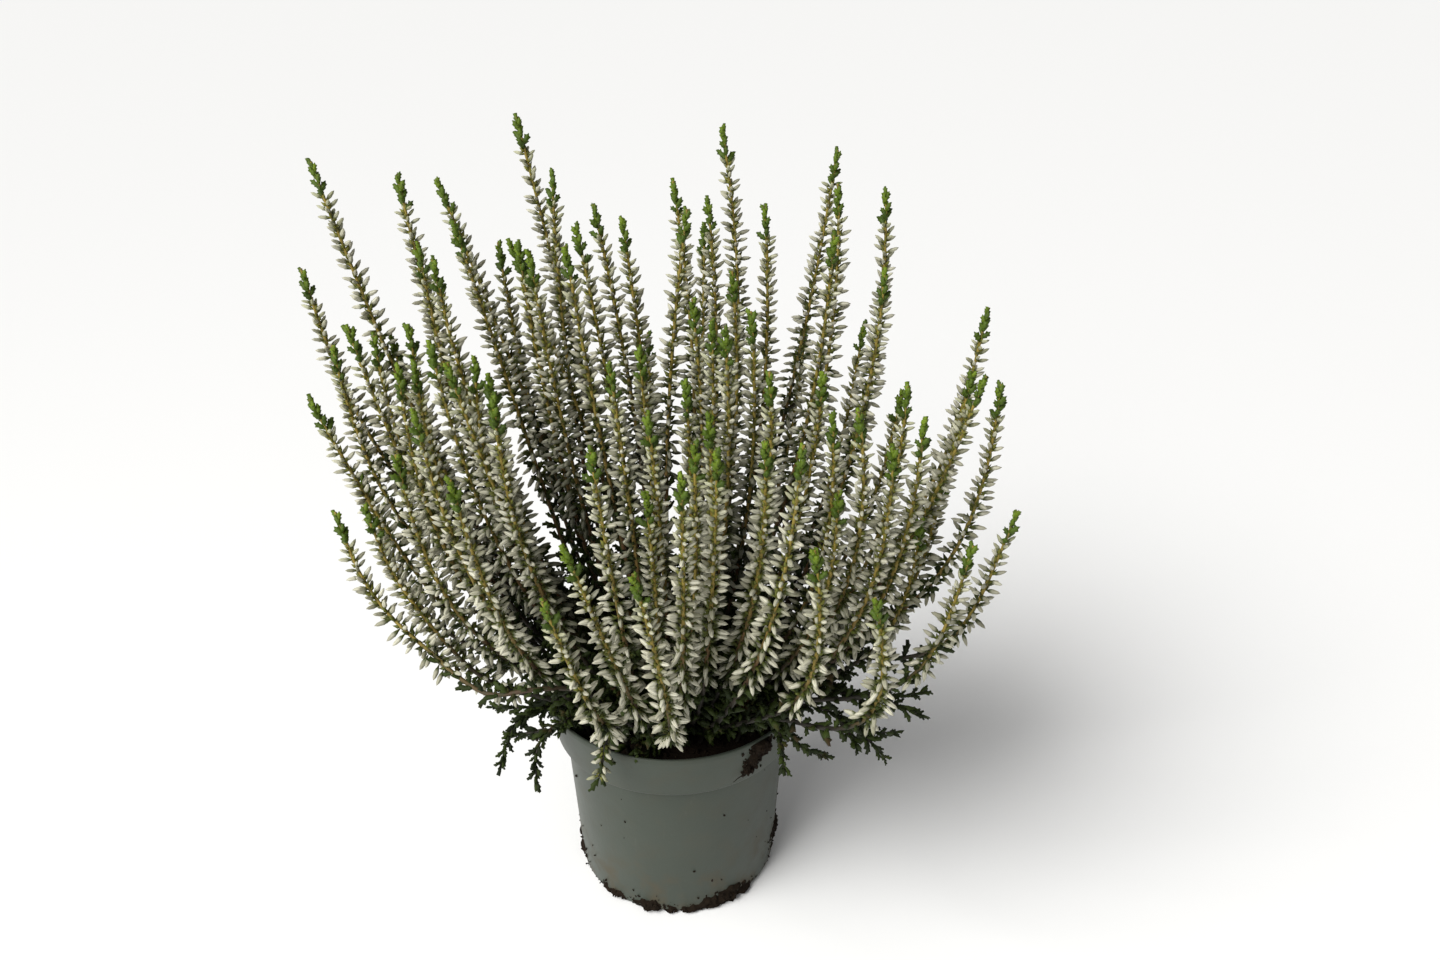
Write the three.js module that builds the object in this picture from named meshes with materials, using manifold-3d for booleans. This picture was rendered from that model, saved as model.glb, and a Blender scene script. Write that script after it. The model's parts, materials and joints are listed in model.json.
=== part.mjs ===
// Bud-flowering heather in a 12 cm nursery pot. Millimetres, +Z up, seen from -Y.
// The origin is the middle of the pot's underside, where it stands.
import * as THREE from "three";
import { mergeVertices } from "three/addons/utils/BufferGeometryUtils.js";
import Module from "manifold-3d";

const wasm = await Module();
wasm.setup();

// Driving dimensions of the pot
const RIM_RADIUS = 60;
const POT_HEIGHT = 102;
const COLLAR_HEIGHT = 22.7;
const COLLAR_FOOT_RADIUS = 56.3;
const WALL_TOP_RADIUS = 52;
const BASE_RADIUS = 47.4;
const WALL = 1.2;
const FLOOR = 1.6;
const BASE_ROUNDING = 2.4;
const LIP_BEVEL = 0.6;
const POT_SIDES = 32;
const DRAIN_HOLES = 6;
const DRAIN_RADIUS = 4;
const DRAIN_CIRCLE = 34;
const DRAIN_SIDES = 8;

// Soil
const SOIL_TOP = 92;
const SOIL_SIDES = 20;
const SOIL_BUMP = 1.1;
const SOIL_CROWN = 0.8;
const SOIL_RINGS = [24, 44];
const CLEARANCE = 0.35;

// Feet of the stems, which stand in plain holes
const FOOT_RADIUS = 2.1;
const FOOT_DEPTH = 10;
const FOOT_RISE = 1.5;
const HOLE_DEPTH = 11;
const HOLE_SIDES = 4;
const FOOT_SPACING = 7;
const FOOT_AREA_RADIUS = 46;
const FOOT_PULL = { x: 0.27, y: 0.4 };

// Flowering shoots: a bare stem, a spike of buds and a leafy tip
const STEM_RADIUS = 1.15;
const BUD_RINGS = 8;
const BUD_RING_SPACING = 14.5;
const BUD_REACH_LOW = 10.2;
const BUD_REACH_TOP = 6.2;
const BUD_VALLEY = 2.4;
const BUD_LIFT = [-1.5, 3.5];
const LEAFY_TIP = 14;
const LEAFY_TIP_REACH = 2.7;
const SPIKE_LENGTH = 118;
const SPIKE_SHARE = 0.78;
const RING_TWIST = 0.2;
const LEAST_GAP = 0.5;
const LEAST_SHARE = 0.15;
const SAMPLE_SPACING = 6;
const STEM_CLAIM = 1.9;
const SPIKE_CLAIM = [5.6, 3.4];
const TWIG_CLAIM = 2.4;
const SHOOT_SIDES = 6;
const TWIG_SIDES = 3;
const RELAX_ROUNDS = 110;
const MOST_CLAIM = 12;
const REACH_APART = 26;
const SHOOT_LIP_PASS = POT_HEIGHT + 12;

// Leafy twigs with no flowers, round the crown
const TWIG_RADIUS = 0.85;
const LEAF_REACH = 2.3;
const TWIG_RING_SPACING = 7;
const TWIG_LIP_PASS = POT_HEIGHT + 5;
const LEAF_LIFT = 1.8;
const TWIG_RISE = 24;
const BRANCH_SHARES = [0.42, 0.62, 0.8];
const BRANCH_LENGTHS = [15, 20];
const BRANCH_LEAST = 7;
const BRANCH_CLEARANCE = 2;

const COLOURS = {
  pot: 0x636a62,
  soil: 0x2b221b,
  flowers: 0xe6e6d2,
  foliage: 0x3f5526,
};

// Every flowering spray: the tips of its shoots as x, y, z and how much each leans, in x per height
const SPRAYS = [
  [[-142, 28, 333, -0.27], [-111, 38, 326, -0.08]],
  [[-151, 22, 291, -0.12], [-139, 10, 262, -0.1]],
  [[-137, -30, 255, -0.35], [-125, -20, 218, -0.12]],
  [[-99, 12, 305, -0.06], [-88, -12, 305, -0.06]],
  [[-96, 42, 323, -0.31], [-88, 29, 308, -0.26]],
  [[-123, -16, 280, -0.18], [-120, 6, 268, -0.06]],
  [[-106, 8, 272, -0.02], [-102, -6, 261, -0.01]],
  [[-87, -34, 280, -0.08], [-100, -34, 270, 0.03]],
  [[-78, -48, 277, -0.19], [-75, -14, 266, 0.06]],
  [[-66, 70, 343, -0.18], [-50, 56, 323, 0.01]],
  [[-66, 30, 300, -0.35], [-61, 22, 302, -0.08]],
  [[-54, 6, 303, -0.1], [-38, -8, 309, -0.1]],
  [[-36, 14, 311, -0.16], [-33, 52, 310, -0.19]],
  [[-19, 30, 309, -0.12], [8, 16, 317, 0.14]],
  [[1, 60, 318, -0.15], [16, 34, 317, -0.09]],
  [[22, 68, 339, -0.18], [40, 54, 309, -0.07]],
  [[26, 22, 290, -0.08], [10, 4, 284, -0.11]],
  [[33, -14, 285, -0.07], [18, -24, 285, -0.04]],
  [[23, -40, 288, -0.07], [39, -49, 274, -0.06]],
  [[8, -34, 264, -0.04], [-10, -22, 273, -0.07]],
  [[-20, -40, 274, -0.09], [-67, -30, 265, -0.01]],
  [[-62, -50, 264, 0.03], [-89, -60, 264, -0.08]],
  [[-100, -52, 242, -0.02], [-72, -86, 249, -0.11]],
  [[-33, -98, 229, -0.23], [-39, -112, 216, -0.23]],
  [[-24, -78, 258, -0.1], [-5, -62, 263, -0.08]],
  [[-6, -66, 233, -0.06], [-8, -112, 227, -0.17]],
  [[17, -50, 257, -0.04], [12, -72, 256, -0.03]],
  [[20, -84, 259, 0.04], [8, -90, 252, -0.02]],
  [[37, -76, 259, -0.05], [49, -92, 265, 0.04], [54, -93, 225, -0.13]],
  [[63, -44, 255, -0.11], [61, -24, 264, 0.01]],
  [[70, -66, 266, -0.15], [65, -62, 232, -0.08]],
  [[84, -61, 249, -0.04], [75, -102, 211, -0.18]],
  [[92, -36, 263, -0.01], [95, -58, 259, -0.01]],
  [[72, 70, 329, 0.12], [70, 42, 321, -0.06]],
  [[67, 18, 306, 0.02], [86, 2, 297, 0.03]],
  [[92, 56, 315, -0.08], [131, 14, 277, 0.1]],
  [[123, -28, 264, 0.21], [123, -6, 257, 0.1]],
  [[132, -17, 256, -0.02], [141, -32, 207, 0.24], [119, -54, 204, 0.13]],
  [[114, -14, 216, 0.1], [101, -40, 208, 0.04]],
];

// Low shoots that lie over the pot's lip, from foot to tip
const LOW_SHOOTS = [
  [[-30, -42, 91], [-46, -58, 114], [-72, -60, 119], [-97, -45, 139], [-122, -35, 168], [-135, -29, 205]],
  [[-34, -24, 91], [-58, -38, 113], [-78, -41, 125], [-97, -41, 150], [-112, -41, 182], [-119, -41, 214]],
  [[-20, -44, 91], [-24, -57, 110], [-29, -69, 101]],
];

// Shoots on the far side, which fan out behind the crown
const BACK_SPRAYS = 4;
const BACK_BEARINGS = [0.16, 0.84];
const BACK_WIDENING = 1.15;
const BACK_REACH = [88, 112];
const BACK_TIP_HEIGHT = [232, 292];

// Tips of the leafy twigs
const TWIGS = [
  [-63, -54, 90],
  [-77, -49, 98],
  [-88, -8, 112],
  [-20, -44, 126],
  [32, -42, 128],
  [57, -53, 93],
  [93, -46, 92],
  [108, -42, 112],
  [88, 18, 118],
  [36, 76, 120],
  [-24, 80, 118],
  [-74, 52, 120],
];

// A repeatable run of numbers from 0 to 1
function seeded(seed) {
  let state = seed;
  return () => {
    state = (state + 0x6d2b79f5) | 0;
    let t = Math.imul(state ^ (state >>> 15), 1 | state);
    t = (t + Math.imul(t ^ (t >>> 7), 61 | t)) ^ t;
    return ((t ^ (t >>> 14)) >>> 0) / 4294967296;
  };
}

const vec = (x, y, z) => new THREE.Vector3(x, y, z);
const lerp = THREE.MathUtils.lerp;
const clamp = THREE.MathUtils.clamp;

// Solids from geometry and back
function solidFrom(geometry) {
  const bare = geometry.clone();
  bare.deleteAttribute("normal");
  bare.deleteAttribute("uv");
  const merged = mergeVertices(bare, 1e-4);
  return new wasm.Manifold(
    new wasm.Mesh({
      numProp: 3,
      vertProperties: merged.attributes.position.array,
      triVerts: new Uint32Array(merged.index.array),
    }),
  );
}

function geometryFrom(solid) {
  const mesh = solid.getMesh();
  const geometry = new THREE.BufferGeometry();
  geometry.setAttribute("position", new THREE.BufferAttribute(mesh.vertProperties, 3));
  geometry.setIndex(new THREE.BufferAttribute(mesh.triVerts, 1));
  geometry.computeVertexNormals();
  return geometry;
}

// The largest body of a solid with any hollow inside it filled
function wholeBody(solid) {
  const bodies = solid.decompose().filter((body) => body.volume() > 0);
  bodies.sort((a, b) => b.volume() - a.volume());
  return bodies[0];
}

// An upright prism with a closed top and bottom
function post(radius, bottom, top, x, y, sides) {
  const geometry = new THREE.CylinderGeometry(radius, radius, top - bottom, sides);
  geometry.rotateX(Math.PI / 2);
  geometry.translate(x, y, (bottom + top) / 2);
  return solidFrom(geometry);
}

function lathe(profile, sides) {
  const points = profile.map(([r, z]) => new THREE.Vector2(r, z));
  const geometry = new THREE.LatheGeometry(points, sides);
  geometry.rotateX(Math.PI / 2);
  return geometry;
}

// The pot: wall, collar and lip in one thin shell, and drain holes in its bottom
function makePot() {
  const ledge = POT_HEIGHT - COLLAR_HEIGHT;
  const outside = [
    [0, 0],
    [BASE_RADIUS - BASE_ROUNDING, 0],
    [BASE_RADIUS - 0.3 * BASE_ROUNDING, 0.3 * BASE_ROUNDING],
    [BASE_RADIUS, BASE_ROUNDING],
    [WALL_TOP_RADIUS, ledge],
    [COLLAR_FOOT_RADIUS, ledge],
    [RIM_RADIUS, POT_HEIGHT - LIP_BEVEL],
    [RIM_RADIUS - LIP_BEVEL, POT_HEIGHT],
  ];
  const inside = [
    [RIM_RADIUS - WALL, POT_HEIGHT],
    [COLLAR_FOOT_RADIUS - WALL, ledge + WALL],
    [WALL_TOP_RADIUS - WALL, ledge + WALL],
    [BASE_RADIUS - WALL, BASE_ROUNDING + FLOOR],
    [BASE_RADIUS - BASE_ROUNDING, FLOOR],
    [0, FLOOR],
  ];
  let pot = solidFrom(lathe([...outside, ...inside], POT_SIDES));
  for (let i = 0; i < DRAIN_HOLES; i++) {
    const angle = (2 * Math.PI * i) / DRAIN_HOLES;
    const x = DRAIN_CIRCLE * Math.cos(angle);
    const y = DRAIN_CIRCLE * Math.sin(angle);
    pot = pot.subtract(post(DRAIN_RADIUS, -1, FLOOR + 1, x, y, DRAIN_SIDES));
  }
  return pot;
}

// The soil: fills the pot, crumbly on top, with a hole for each stem
function makeSoil(feet) {
  const random = seeded(7);
  const ledge = POT_HEIGHT - COLLAR_HEIGHT + WALL + CLEARANCE;
  const flat = Math.cos(Math.PI / POT_SIDES);
  const wall = (z) => lerp(BASE_RADIUS, WALL_TOP_RADIUS, z / (POT_HEIGHT - COLLAR_HEIGHT)) - WALL;
  const collar = (z) => lerp(COLLAR_FOOT_RADIUS, RIM_RADIUS, (z - ledge) / COLLAR_HEIGHT) - WALL;
  const wallAt = (z) => flat * wall(z) - CLEARANCE;
  const collarAt = (z) => flat * collar(z) - 2 * CLEARANCE;
  const low = FLOOR + CLEARANCE;
  const profile = [
    [0, low],
    [BASE_RADIUS - BASE_ROUNDING - CLEARANCE, low],
    [wallAt(low + 4), low + 4],
    [wallAt(ledge), ledge],
    [collarAt(ledge), ledge],
    [collarAt(SOIL_TOP - 2), SOIL_TOP - 2],
    [SOIL_RINGS[1], SOIL_TOP - 0.5 * SOIL_CROWN],
    [SOIL_RINGS[0], SOIL_TOP + 0.5 * SOIL_CROWN],
    [0, SOIL_TOP + SOIL_CROWN],
  ];
  const geometry = lathe(profile, SOIL_SIDES);
  geometry.deleteAttribute("normal");
  geometry.deleteAttribute("uv");
  const merged = mergeVertices(geometry, 1e-4);
  const place = merged.attributes.position;
  for (let i = 0; i < place.count; i++) {
    if (place.getZ(i) > SOIL_TOP - 1) {
      place.setZ(i, place.getZ(i) + SOIL_BUMP * (2 * random() - 1));
    }
  }
  let soil = solidFrom(merged);
  const holeRadius = (FOOT_RADIUS + CLEARANCE) / Math.cos(Math.PI / HOLE_SIDES);
  for (const foot of feet) {
    const bottom = SOIL_TOP - HOLE_DEPTH;
    soil = soil.subtract(post(holeRadius, bottom, SOIL_TOP + 5, foot.x, foot.y, HOLE_SIDES));
  }
  return soil;
}

// A stem: rings along a curve and its tip, with the room that it claims and the node it belongs to
function makeStem(curve, rings, owner, claimAt, lipPass) {
  const shares = [...rings.map((ring) => ring.at), 1];
  const centres = shares.map((share) => curve.getPointAt(share));
  const home = centres.map((centre) => centre.clone());
  return { rings, centres, home, claim: shares.map(claimAt), owner, lipPass };
}

// The rings of a flowering shoot: bare stem, buds, leafy tip
function shootRings(length) {
  const start = 1 - Math.min(SPIKE_SHARE, (SPIKE_LENGTH + LEAFY_TIP) / length);
  const leafy = 1 - LEAFY_TIP / length;
  const bare = (at) => ({ at, reach: STEM_RADIUS, valley: STEM_RADIUS, lift: 0 });
  const rings = [bare(0), bare(0.5 * start)];
  const wanted = Math.round((length * (leafy - start)) / BUD_RING_SPACING);
  const count = clamp(wanted, 2, BUD_RINGS);
  for (let k = 0; k < count; k++) {
    const t = k / (count - 1);
    rings.push({
      at: lerp(start, leafy, t),
      reach: lerp(BUD_REACH_LOW, BUD_REACH_TOP, t),
      valley: BUD_VALLEY,
      lift: lerp(...BUD_LIFT, t),
    });
  }
  rings.push({ at: 1 - (0.45 * LEAFY_TIP) / length, reach: LEAFY_TIP_REACH, valley: 1.5, lift: 2 });
  return rings;
}

function floweringStem(curve, owner) {
  const rings = shootRings(curve.getLength());
  const start = rings[2].at;
  const claimAt = (t) => (t < start ? STEM_CLAIM : lerp(...SPIKE_CLAIM, (t - start) / (1 - start)));
  return makeStem(curve, rings, owner, claimAt, SHOOT_LIP_PASS);
}

// A flowering shoot: from its foot outward, then up to its tip
function upright(foot, tip, lean, owner) {
  const rise = tip.z - foot.z;
  const leanY = (0.3 * (tip.y - foot.y)) / rise;
  const spread = clamp(Math.hypot(tip.x - foot.x, tip.y - foot.y) / rise - 0.25, 0, 0.7);
  const reach = (0.46 + 0.35 * spread) * rise;
  const high = vec(tip.x - lean * reach, tip.y - leanY * reach, tip.z - reach);
  const outward = 0.45 + 0.85 * spread;
  const low = foot.clone().lerp(high, outward).setZ(foot.z + (0.26 - 0.22 * spread) * rise);
  return floweringStem(new THREE.CubicBezierCurve3(foot, low, high, tip), owner);
}

// Feet pushed apart in the soil, each kept within the soil's disc
function spreadFeet(feet) {
  for (let round = 0; round < RELAX_ROUNDS; round++) {
    for (let i = 0; i < feet.length; i++) {
      for (let j = i + 1; j < feet.length; j++) {
        const apart = feet[i].clone().sub(feet[j]);
        const short = FOOT_SPACING - apart.length();
        if (short <= 0) continue;
        apart.setLength(0.5 * short);
        feet[i].add(apart);
        feet[j].sub(apart);
      }
      feet[i].clampLength(0, FOOT_AREA_RADIUS);
    }
  }
}

// The place on a stem's line that lies nearest to p, how far it is, and the room claimed there
function nearestOn(stem, p) {
  const { centres, claim } = stem;
  const place = new THREE.Vector3();
  const found = { distance: Infinity, claim: 0, place: new THREE.Vector3() };
  for (let i = 0; i + 1 < centres.length; i++) {
    const a = centres[i];
    const b = centres[i + 1];
    const [dx, dy, dz] = [b.x - a.x, b.y - a.y, b.z - a.z];
    const along = (p.x - a.x) * dx + (p.y - a.y) * dy + (p.z - a.z) * dz;
    const t = clamp(along / (dx * dx + dy * dy + dz * dz), 0, 1);
    place.set(a.x + t * dx, a.y + t * dy, a.z + t * dz);
    const distance = place.distanceTo(p);
    if (distance >= found.distance) continue;
    found.distance = distance;
    found.claim = lerp(claim[i], claim[i + 1], t);
    found.place.copy(place);
  }
  return found;
}

const boxRound = (stem, room) => new THREE.Box3().setFromPoints(stem.centres).expandByScalar(room);

// Moves a point between two centres of a stem by moving the centres. Foot and tip stay.
function shift(stem, k, t, move) {
  const before = k > 0 ? 1 - t : 0;
  const after = k + 2 < stem.centres.length ? t : 0;
  const scale = Math.min(4, 1 / (before * before + after * after + 1e-6));
  stem.centres[k].addScaledVector(move, before * scale);
  stem.centres[k + 1].addScaledVector(move, after * scale);
}

// How a point of a stem has to move: away from the stems that it is too near, and over the lip
function clearingMove(p, mine, stem, stems, boxes) {
  const move = vec(0, 0, 0);
  const away = vec(0, 0, 0);
  stems.forEach((other, i) => {
    if (other === stem || !boxes[i].containsPoint(p)) return;
    const near = nearestOn(other, p);
    const short = mine + near.claim - near.distance;
    if (short <= 0) return;
    away.copy(p).sub(near.place);
    away.z *= 0.6;
    if (away.lengthSq() < 1e-6) away.set(1, 0, 0);
    move.add(away.setLength(0.35 * short));
  });
  const out = Math.hypot(p.x, p.y);
  const overLip = out > RIM_RADIUS - 7 && out < RIM_RADIUS + 8;
  if (overLip && p.z < stem.lipPass) move.z += 0.5 * (stem.lipPass - p.z);
  return move;
}

// Bends the stems clear of each other and of the pot's lip
function bendClear(stems) {
  for (let round = 0; round < RELAX_ROUNDS; round++) {
    const boxes = stems.map((stem) => boxRound(stem, MOST_CLAIM));
    for (const stem of stems) {
      for (let k = 0; k + 1 < stem.centres.length; k++) {
        const parts = Math.ceil(stem.centres[k].distanceTo(stem.centres[k + 1]) / SAMPLE_SPACING);
        for (let part = k === 0 ? 1 : 0; part < parts; part++) {
          const t = part / parts;
          const p = stem.centres[k].clone().lerp(stem.centres[k + 1], t);
          const mine = lerp(stem.claim[k], stem.claim[k + 1], t);
          shift(stem, k, t, clearingMove(p, mine, stem, stems, boxes));
        }
      }
    }
    stems.forEach(evenOut);
  }
}

// Spreads a stem's bends over its neighbouring centres
function evenOut(stem) {
  const moved = stem.centres.map((centre, i) => centre.clone().sub(stem.home[i]));
  for (let i = 1; i + 1 < stem.centres.length; i++) {
    const mean = moved[i - 1].clone().add(moved[i + 1]).multiplyScalar(0.5);
    stem.centres[i].copy(stem.home[i]).add(moved[i].clone().lerp(mean, 0.25));
  }
}

// The woody foot of the first stem of a node: two level rings, down in the soil and just over it
function footRings(start) {
  const level = { along: vec(0, 0, 1), reach: FOOT_RADIUS, valley: FOOT_RADIUS, lift: 0 };
  return [-FOOT_DEPTH, FOOT_RISE].map((height) => {
    return { ...level, centre: start.clone().setZ(SOIL_TOP + height) };
  });
}

// The rings of a stem with their centres and directions
function placedRings(stem, rooted) {
  const placed = stem.rings.map((ring, k) => {
    const before = stem.centres[Math.max(0, k - 1)];
    const along = stem.centres[k + 1].clone().sub(before).normalize();
    return { ...ring, centre: stem.centres[k], along };
  });
  return rooted ? [...footRings(stem.centres[0]), ...placed.slice(1)] : placed;
}

// A closed skin of rings round a stem's line. On each ring every third corner is drawn out to a bud
// or leaf, so that no two of these touch. room() says how much of its way out a corner may go.
function knobbedSkin(stem, sides, rooted, room) {
  const rings = placedRings(stem, rooted);
  const side = vec(1, 0, 0);
  const corners = rings.flatMap(({ centre, along, reach, valley, lift }, k) => {
    side.addScaledVector(along, -side.dot(along)).normalize();
    const across = along.clone().cross(side);
    return Array.from({ length: sides }, (_, i) => {
      const angle = (2 * Math.PI * (i + k / 2)) / sides + RING_TWIST * k;
      const drawn = (i - k + 3 * rings.length) % 3 === 0;
      const full = centre.clone().addScaledVector(along, drawn ? lift : 0);
      full.addScaledVector(side, (drawn ? reach : valley) * Math.cos(angle));
      full.addScaledVector(across, (drawn ? reach : valley) * Math.sin(angle));
      return centre.clone().lerp(full, room(full, centre));
    });
  });
  corners.push(stem.centres[stem.centres.length - 1]);
  const faces = [];
  for (let k = 0; k + 1 < rings.length; k++) {
    for (let i = 0; i < sides; i++) {
      const next = (i + 1) % sides;
      faces.push([k * sides + i, k * sides + next, (k + 1) * sides + i]);
      faces.push([k * sides + next, (k + 1) * sides + next, (k + 1) * sides + i]);
    }
  }
  const top = (rings.length - 1) * sides;
  for (let i = 1; i + 1 < sides; i++) faces.push([0, i + 1, i]);
  for (let i = 0; i < sides; i++) {
    faces.push([top + i, top + ((i + 1) % sides), corners.length - 1]);
  }
  const geometry = new THREE.BufferGeometry().setFromPoints(corners);
  geometry.setIndex(faces.flat());
  return solidFrom(geometry);
}

// Room for a corner among the other stems: it stays on its own side of each, by the room they claim
function roomAmong(stem, others) {
  const boxes = others.map((other) => boxRound(other, REACH_APART));
  return (full, centre) => {
    const mine = nearestOn(stem, centre).claim;
    const nearby = others.filter((other, i) => other !== stem && boxes[i].containsPoint(centre));
    for (let share = 1; share > LEAST_SHARE; share -= 0.07) {
      const place = centre.clone().lerp(full, share);
      const own = nearestOn(stem, place).distance;
      const free = nearby.every((other) => {
        const near = nearestOn(other, place);
        return (near.distance - LEAST_GAP) * mine > (own + LEAST_GAP) * near.claim;
      });
      const offLip = place.z > POT_HEIGHT + 1 || Math.hypot(place.x, place.y) < RIM_RADIUS - 5;
      if (free && offLip) return share;
    }
    return LEAST_SHARE;
  };
}

// One node: a first stem with the woody foot, and the others fused to it
function fuse(stems, sides, others) {
  const skins = stems.map((stem, i) => {
    return knobbedSkin(stem, sides, i === 0, roomAmong(stem, others));
  });
  return wholeBody(skins.reduce((body, skin) => body.add(skin)));
}

// The rings of a leafy twig or side branch, each with one leaf
function twigRings(length) {
  const count = Math.max(3, Math.round(length / TWIG_RING_SPACING));
  const leafy = Array.from({ length: count - 1 }, (_, k) => {
    return { at: (k + 1) / count, reach: LEAF_REACH, valley: TWIG_RADIUS, lift: LEAF_LIFT };
  });
  return [{ at: 0, reach: TWIG_RADIUS, valley: TWIG_RADIUS, lift: 0 }, ...leafy];
}

// The main stem of a leafy twig, which clears the lip
function twigStem(foot, tip, owner) {
  const low = foot.clone().lerp(tip, 0.2).setZ(SOIL_TOP + TWIG_RISE);
  const high = foot.clone().lerp(tip, 0.7).setZ(Math.max(tip.z + 2, SOIL_TOP + TWIG_RISE));
  const curve = new THREE.CubicBezierCurve3(foot, low, high, tip);
  return makeStem(curve, twigRings(curve.getLength()), owner, () => TWIG_CLAIM, TWIG_LIP_PASS);
}

// The side branches of a twig, left and right in turn, each as long as there is room for
function sideBranches(twig, stems, random) {
  const main = new THREE.CatmullRomCurve3(twig.centres);
  const branches = [];
  BRANCH_SHARES.forEach((share, i) => {
    const root = main.getPointAt(share);
    const along = main.getTangentAt(share);
    const side = along.clone().cross(vec(0, 0, 1)).normalize();
    side.multiplyScalar(i % 2 ? 1 : -1);
    const way = along.clone().add(side);
    way.z += 0.2 * random();
    way.normalize();
    for (let length = lerp(...BRANCH_LENGTHS, random()); length > BRANCH_LEAST; length -= 1.5) {
      const curve = new THREE.LineCurve3(root, root.clone().addScaledVector(way, length));
      const places = curve.getSpacedPoints(6).slice(2);
      if (!places.every((place) => isFree(place, twig.owner, stems))) continue;
      branches.push(makeStem(curve, twigRings(length), twig.owner, () => TWIG_CLAIM));
      break;
    }
  });
  return branches;
}

// Whether a place on a side branch is clear of the pot's lip and of the stems of other nodes
function isFree(place, owner, stems) {
  const out = Math.hypot(place.x, place.y);
  if (place.z < POT_HEIGHT + 3 && out > RIM_RADIUS - 6 && out < RIM_RADIUS + 5) return false;
  return stems.every((other) => {
    if (other.owner === owner) return true;
    const near = nearestOn(other, place);
    return near.distance > BRANCH_CLEARANCE + Math.min(SPIKE_CLAIM[1], near.claim);
  });
}

function named(name, solid, colour, roughness) {
  const material = new THREE.MeshStandardMaterial({ color: colour, roughness, metalness: 0 });
  const mesh = new THREE.Mesh(geometryFrom(solid), material);
  mesh.name = name;
  return mesh;
}

// Sprays on the far side, by a rule: they fan out evenly, a little lower than the crown
function backSprays() {
  const random = seeded(23);
  const between = ([least, most]) => lerp(least, most, random());
  return Array.from({ length: BACK_SPRAYS }, (_, i) => {
    const bearing = Math.PI * lerp(...BACK_BEARINGS, i / (BACK_SPRAYS - 1));
    const tips = [-0.075, 0.075].map((turn) => {
      const angle = bearing + Math.PI * turn;
      const out = between(BACK_REACH);
      const x = BACK_WIDENING * out * Math.cos(angle);
      return [x, out * Math.sin(angle), between(BACK_TIP_HEIGHT), x / 900];
    });
    return tips;
  });
}

// A group's meshes, one for each node, numbered in order
function addNodes(group, name, solids, colour, roughness) {
  solids.forEach((solid, i) => {
    const number = String(i + 1).padStart(2, "0");
    group.add(named(`${name}_${number}`, solid, colour, roughness));
  });
}

function buildHeather() {
  const random = seeded(5);
  const sprays = [...SPRAYS, ...backSprays()];
  const meanOf = (tips, axis) => tips.reduce((sum, tip) => sum + tip[axis], 0) / tips.length;
  const sprayFeet = sprays.map((tips) => {
    return vec(FOOT_PULL.x * meanOf(tips, 0), FOOT_PULL.y * meanOf(tips, 1), 0);
  });
  const lowFeet = LOW_SHOOTS.map(([foot]) => vec(foot[0], foot[1], 0));
  const twigFeet = TWIGS.map((tip) => vec(tip[0], tip[1], 0).setLength(FOOT_AREA_RADIUS));
  const feet = [...sprayFeet, ...lowFeet, ...twigFeet];
  spreadFeet(feet);
  feet.forEach((foot) => foot.setZ(SOIL_TOP - 1));

  const flowering = sprays.map((tips, i) => {
    return tips.map(([x, y, z, lean]) => upright(sprayFeet[i], vec(x, y, z), lean, i));
  });
  LOW_SHOOTS.forEach((places, i) => {
    const curve = new THREE.CatmullRomCurve3([lowFeet[i], ...places.slice(1).map((p) => vec(...p))]);
    flowering.push([floweringStem(curve, flowering.length)]);
  });
  const twigs = TWIGS.map((tip, i) => {
    return [twigStem(twigFeet[i], vec(...tip), flowering.length + i)];
  });
  const stems = [...flowering.flat(), ...twigs.flat()];
  bendClear(stems);
  for (const twig of twigs) {
    const branches = sideBranches(twig[0], stems, random);
    twig.push(...branches);
    stems.push(...branches);
  }

  const heather = new THREE.Group();
  heather.add(named("pot", makePot(), COLOURS.pot, 0.5));
  heather.add(named("soil", makeSoil(feet), COLOURS.soil, 0.95));
  const spraySolids = flowering.map((shoots) => fuse(shoots, SHOOT_SIDES, stems));
  addNodes(heather, "flowering_spray", spraySolids, COLOURS.flowers, 0.8);
  const twigSolids = twigs.map((twig) => {
    const others = stems.filter((stem) => stem.owner !== twig[0].owner);
    return fuse(twig, TWIG_SIDES, others);
  });
  addNodes(heather, "leafy_twig", twigSolids, COLOURS.foliage, 0.85);
  return heather;
}

export default buildHeather();
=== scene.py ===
# %% [markdown]
# A white bud heather in a nursery pot
#
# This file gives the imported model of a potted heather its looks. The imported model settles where
# everything is: the pot, the soil, and every spray of shoots as a coarse, knobbly solid. On the real
# plant each of those shoots is a thin stem with about a hundred closed white buds, each bud held by
# small green bracts, and a soft leafy tip. So the plan is: read the line of every stem out of the
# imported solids, and let Geometry Nodes set buds, bracts, leaves and tubes along those lines.
#
# Everything is in metres, +Z is up, and the front of the plant faces -Y.

import json
import math

import bmesh
import bpy
import numpy as np
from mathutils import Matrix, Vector, noise

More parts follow.
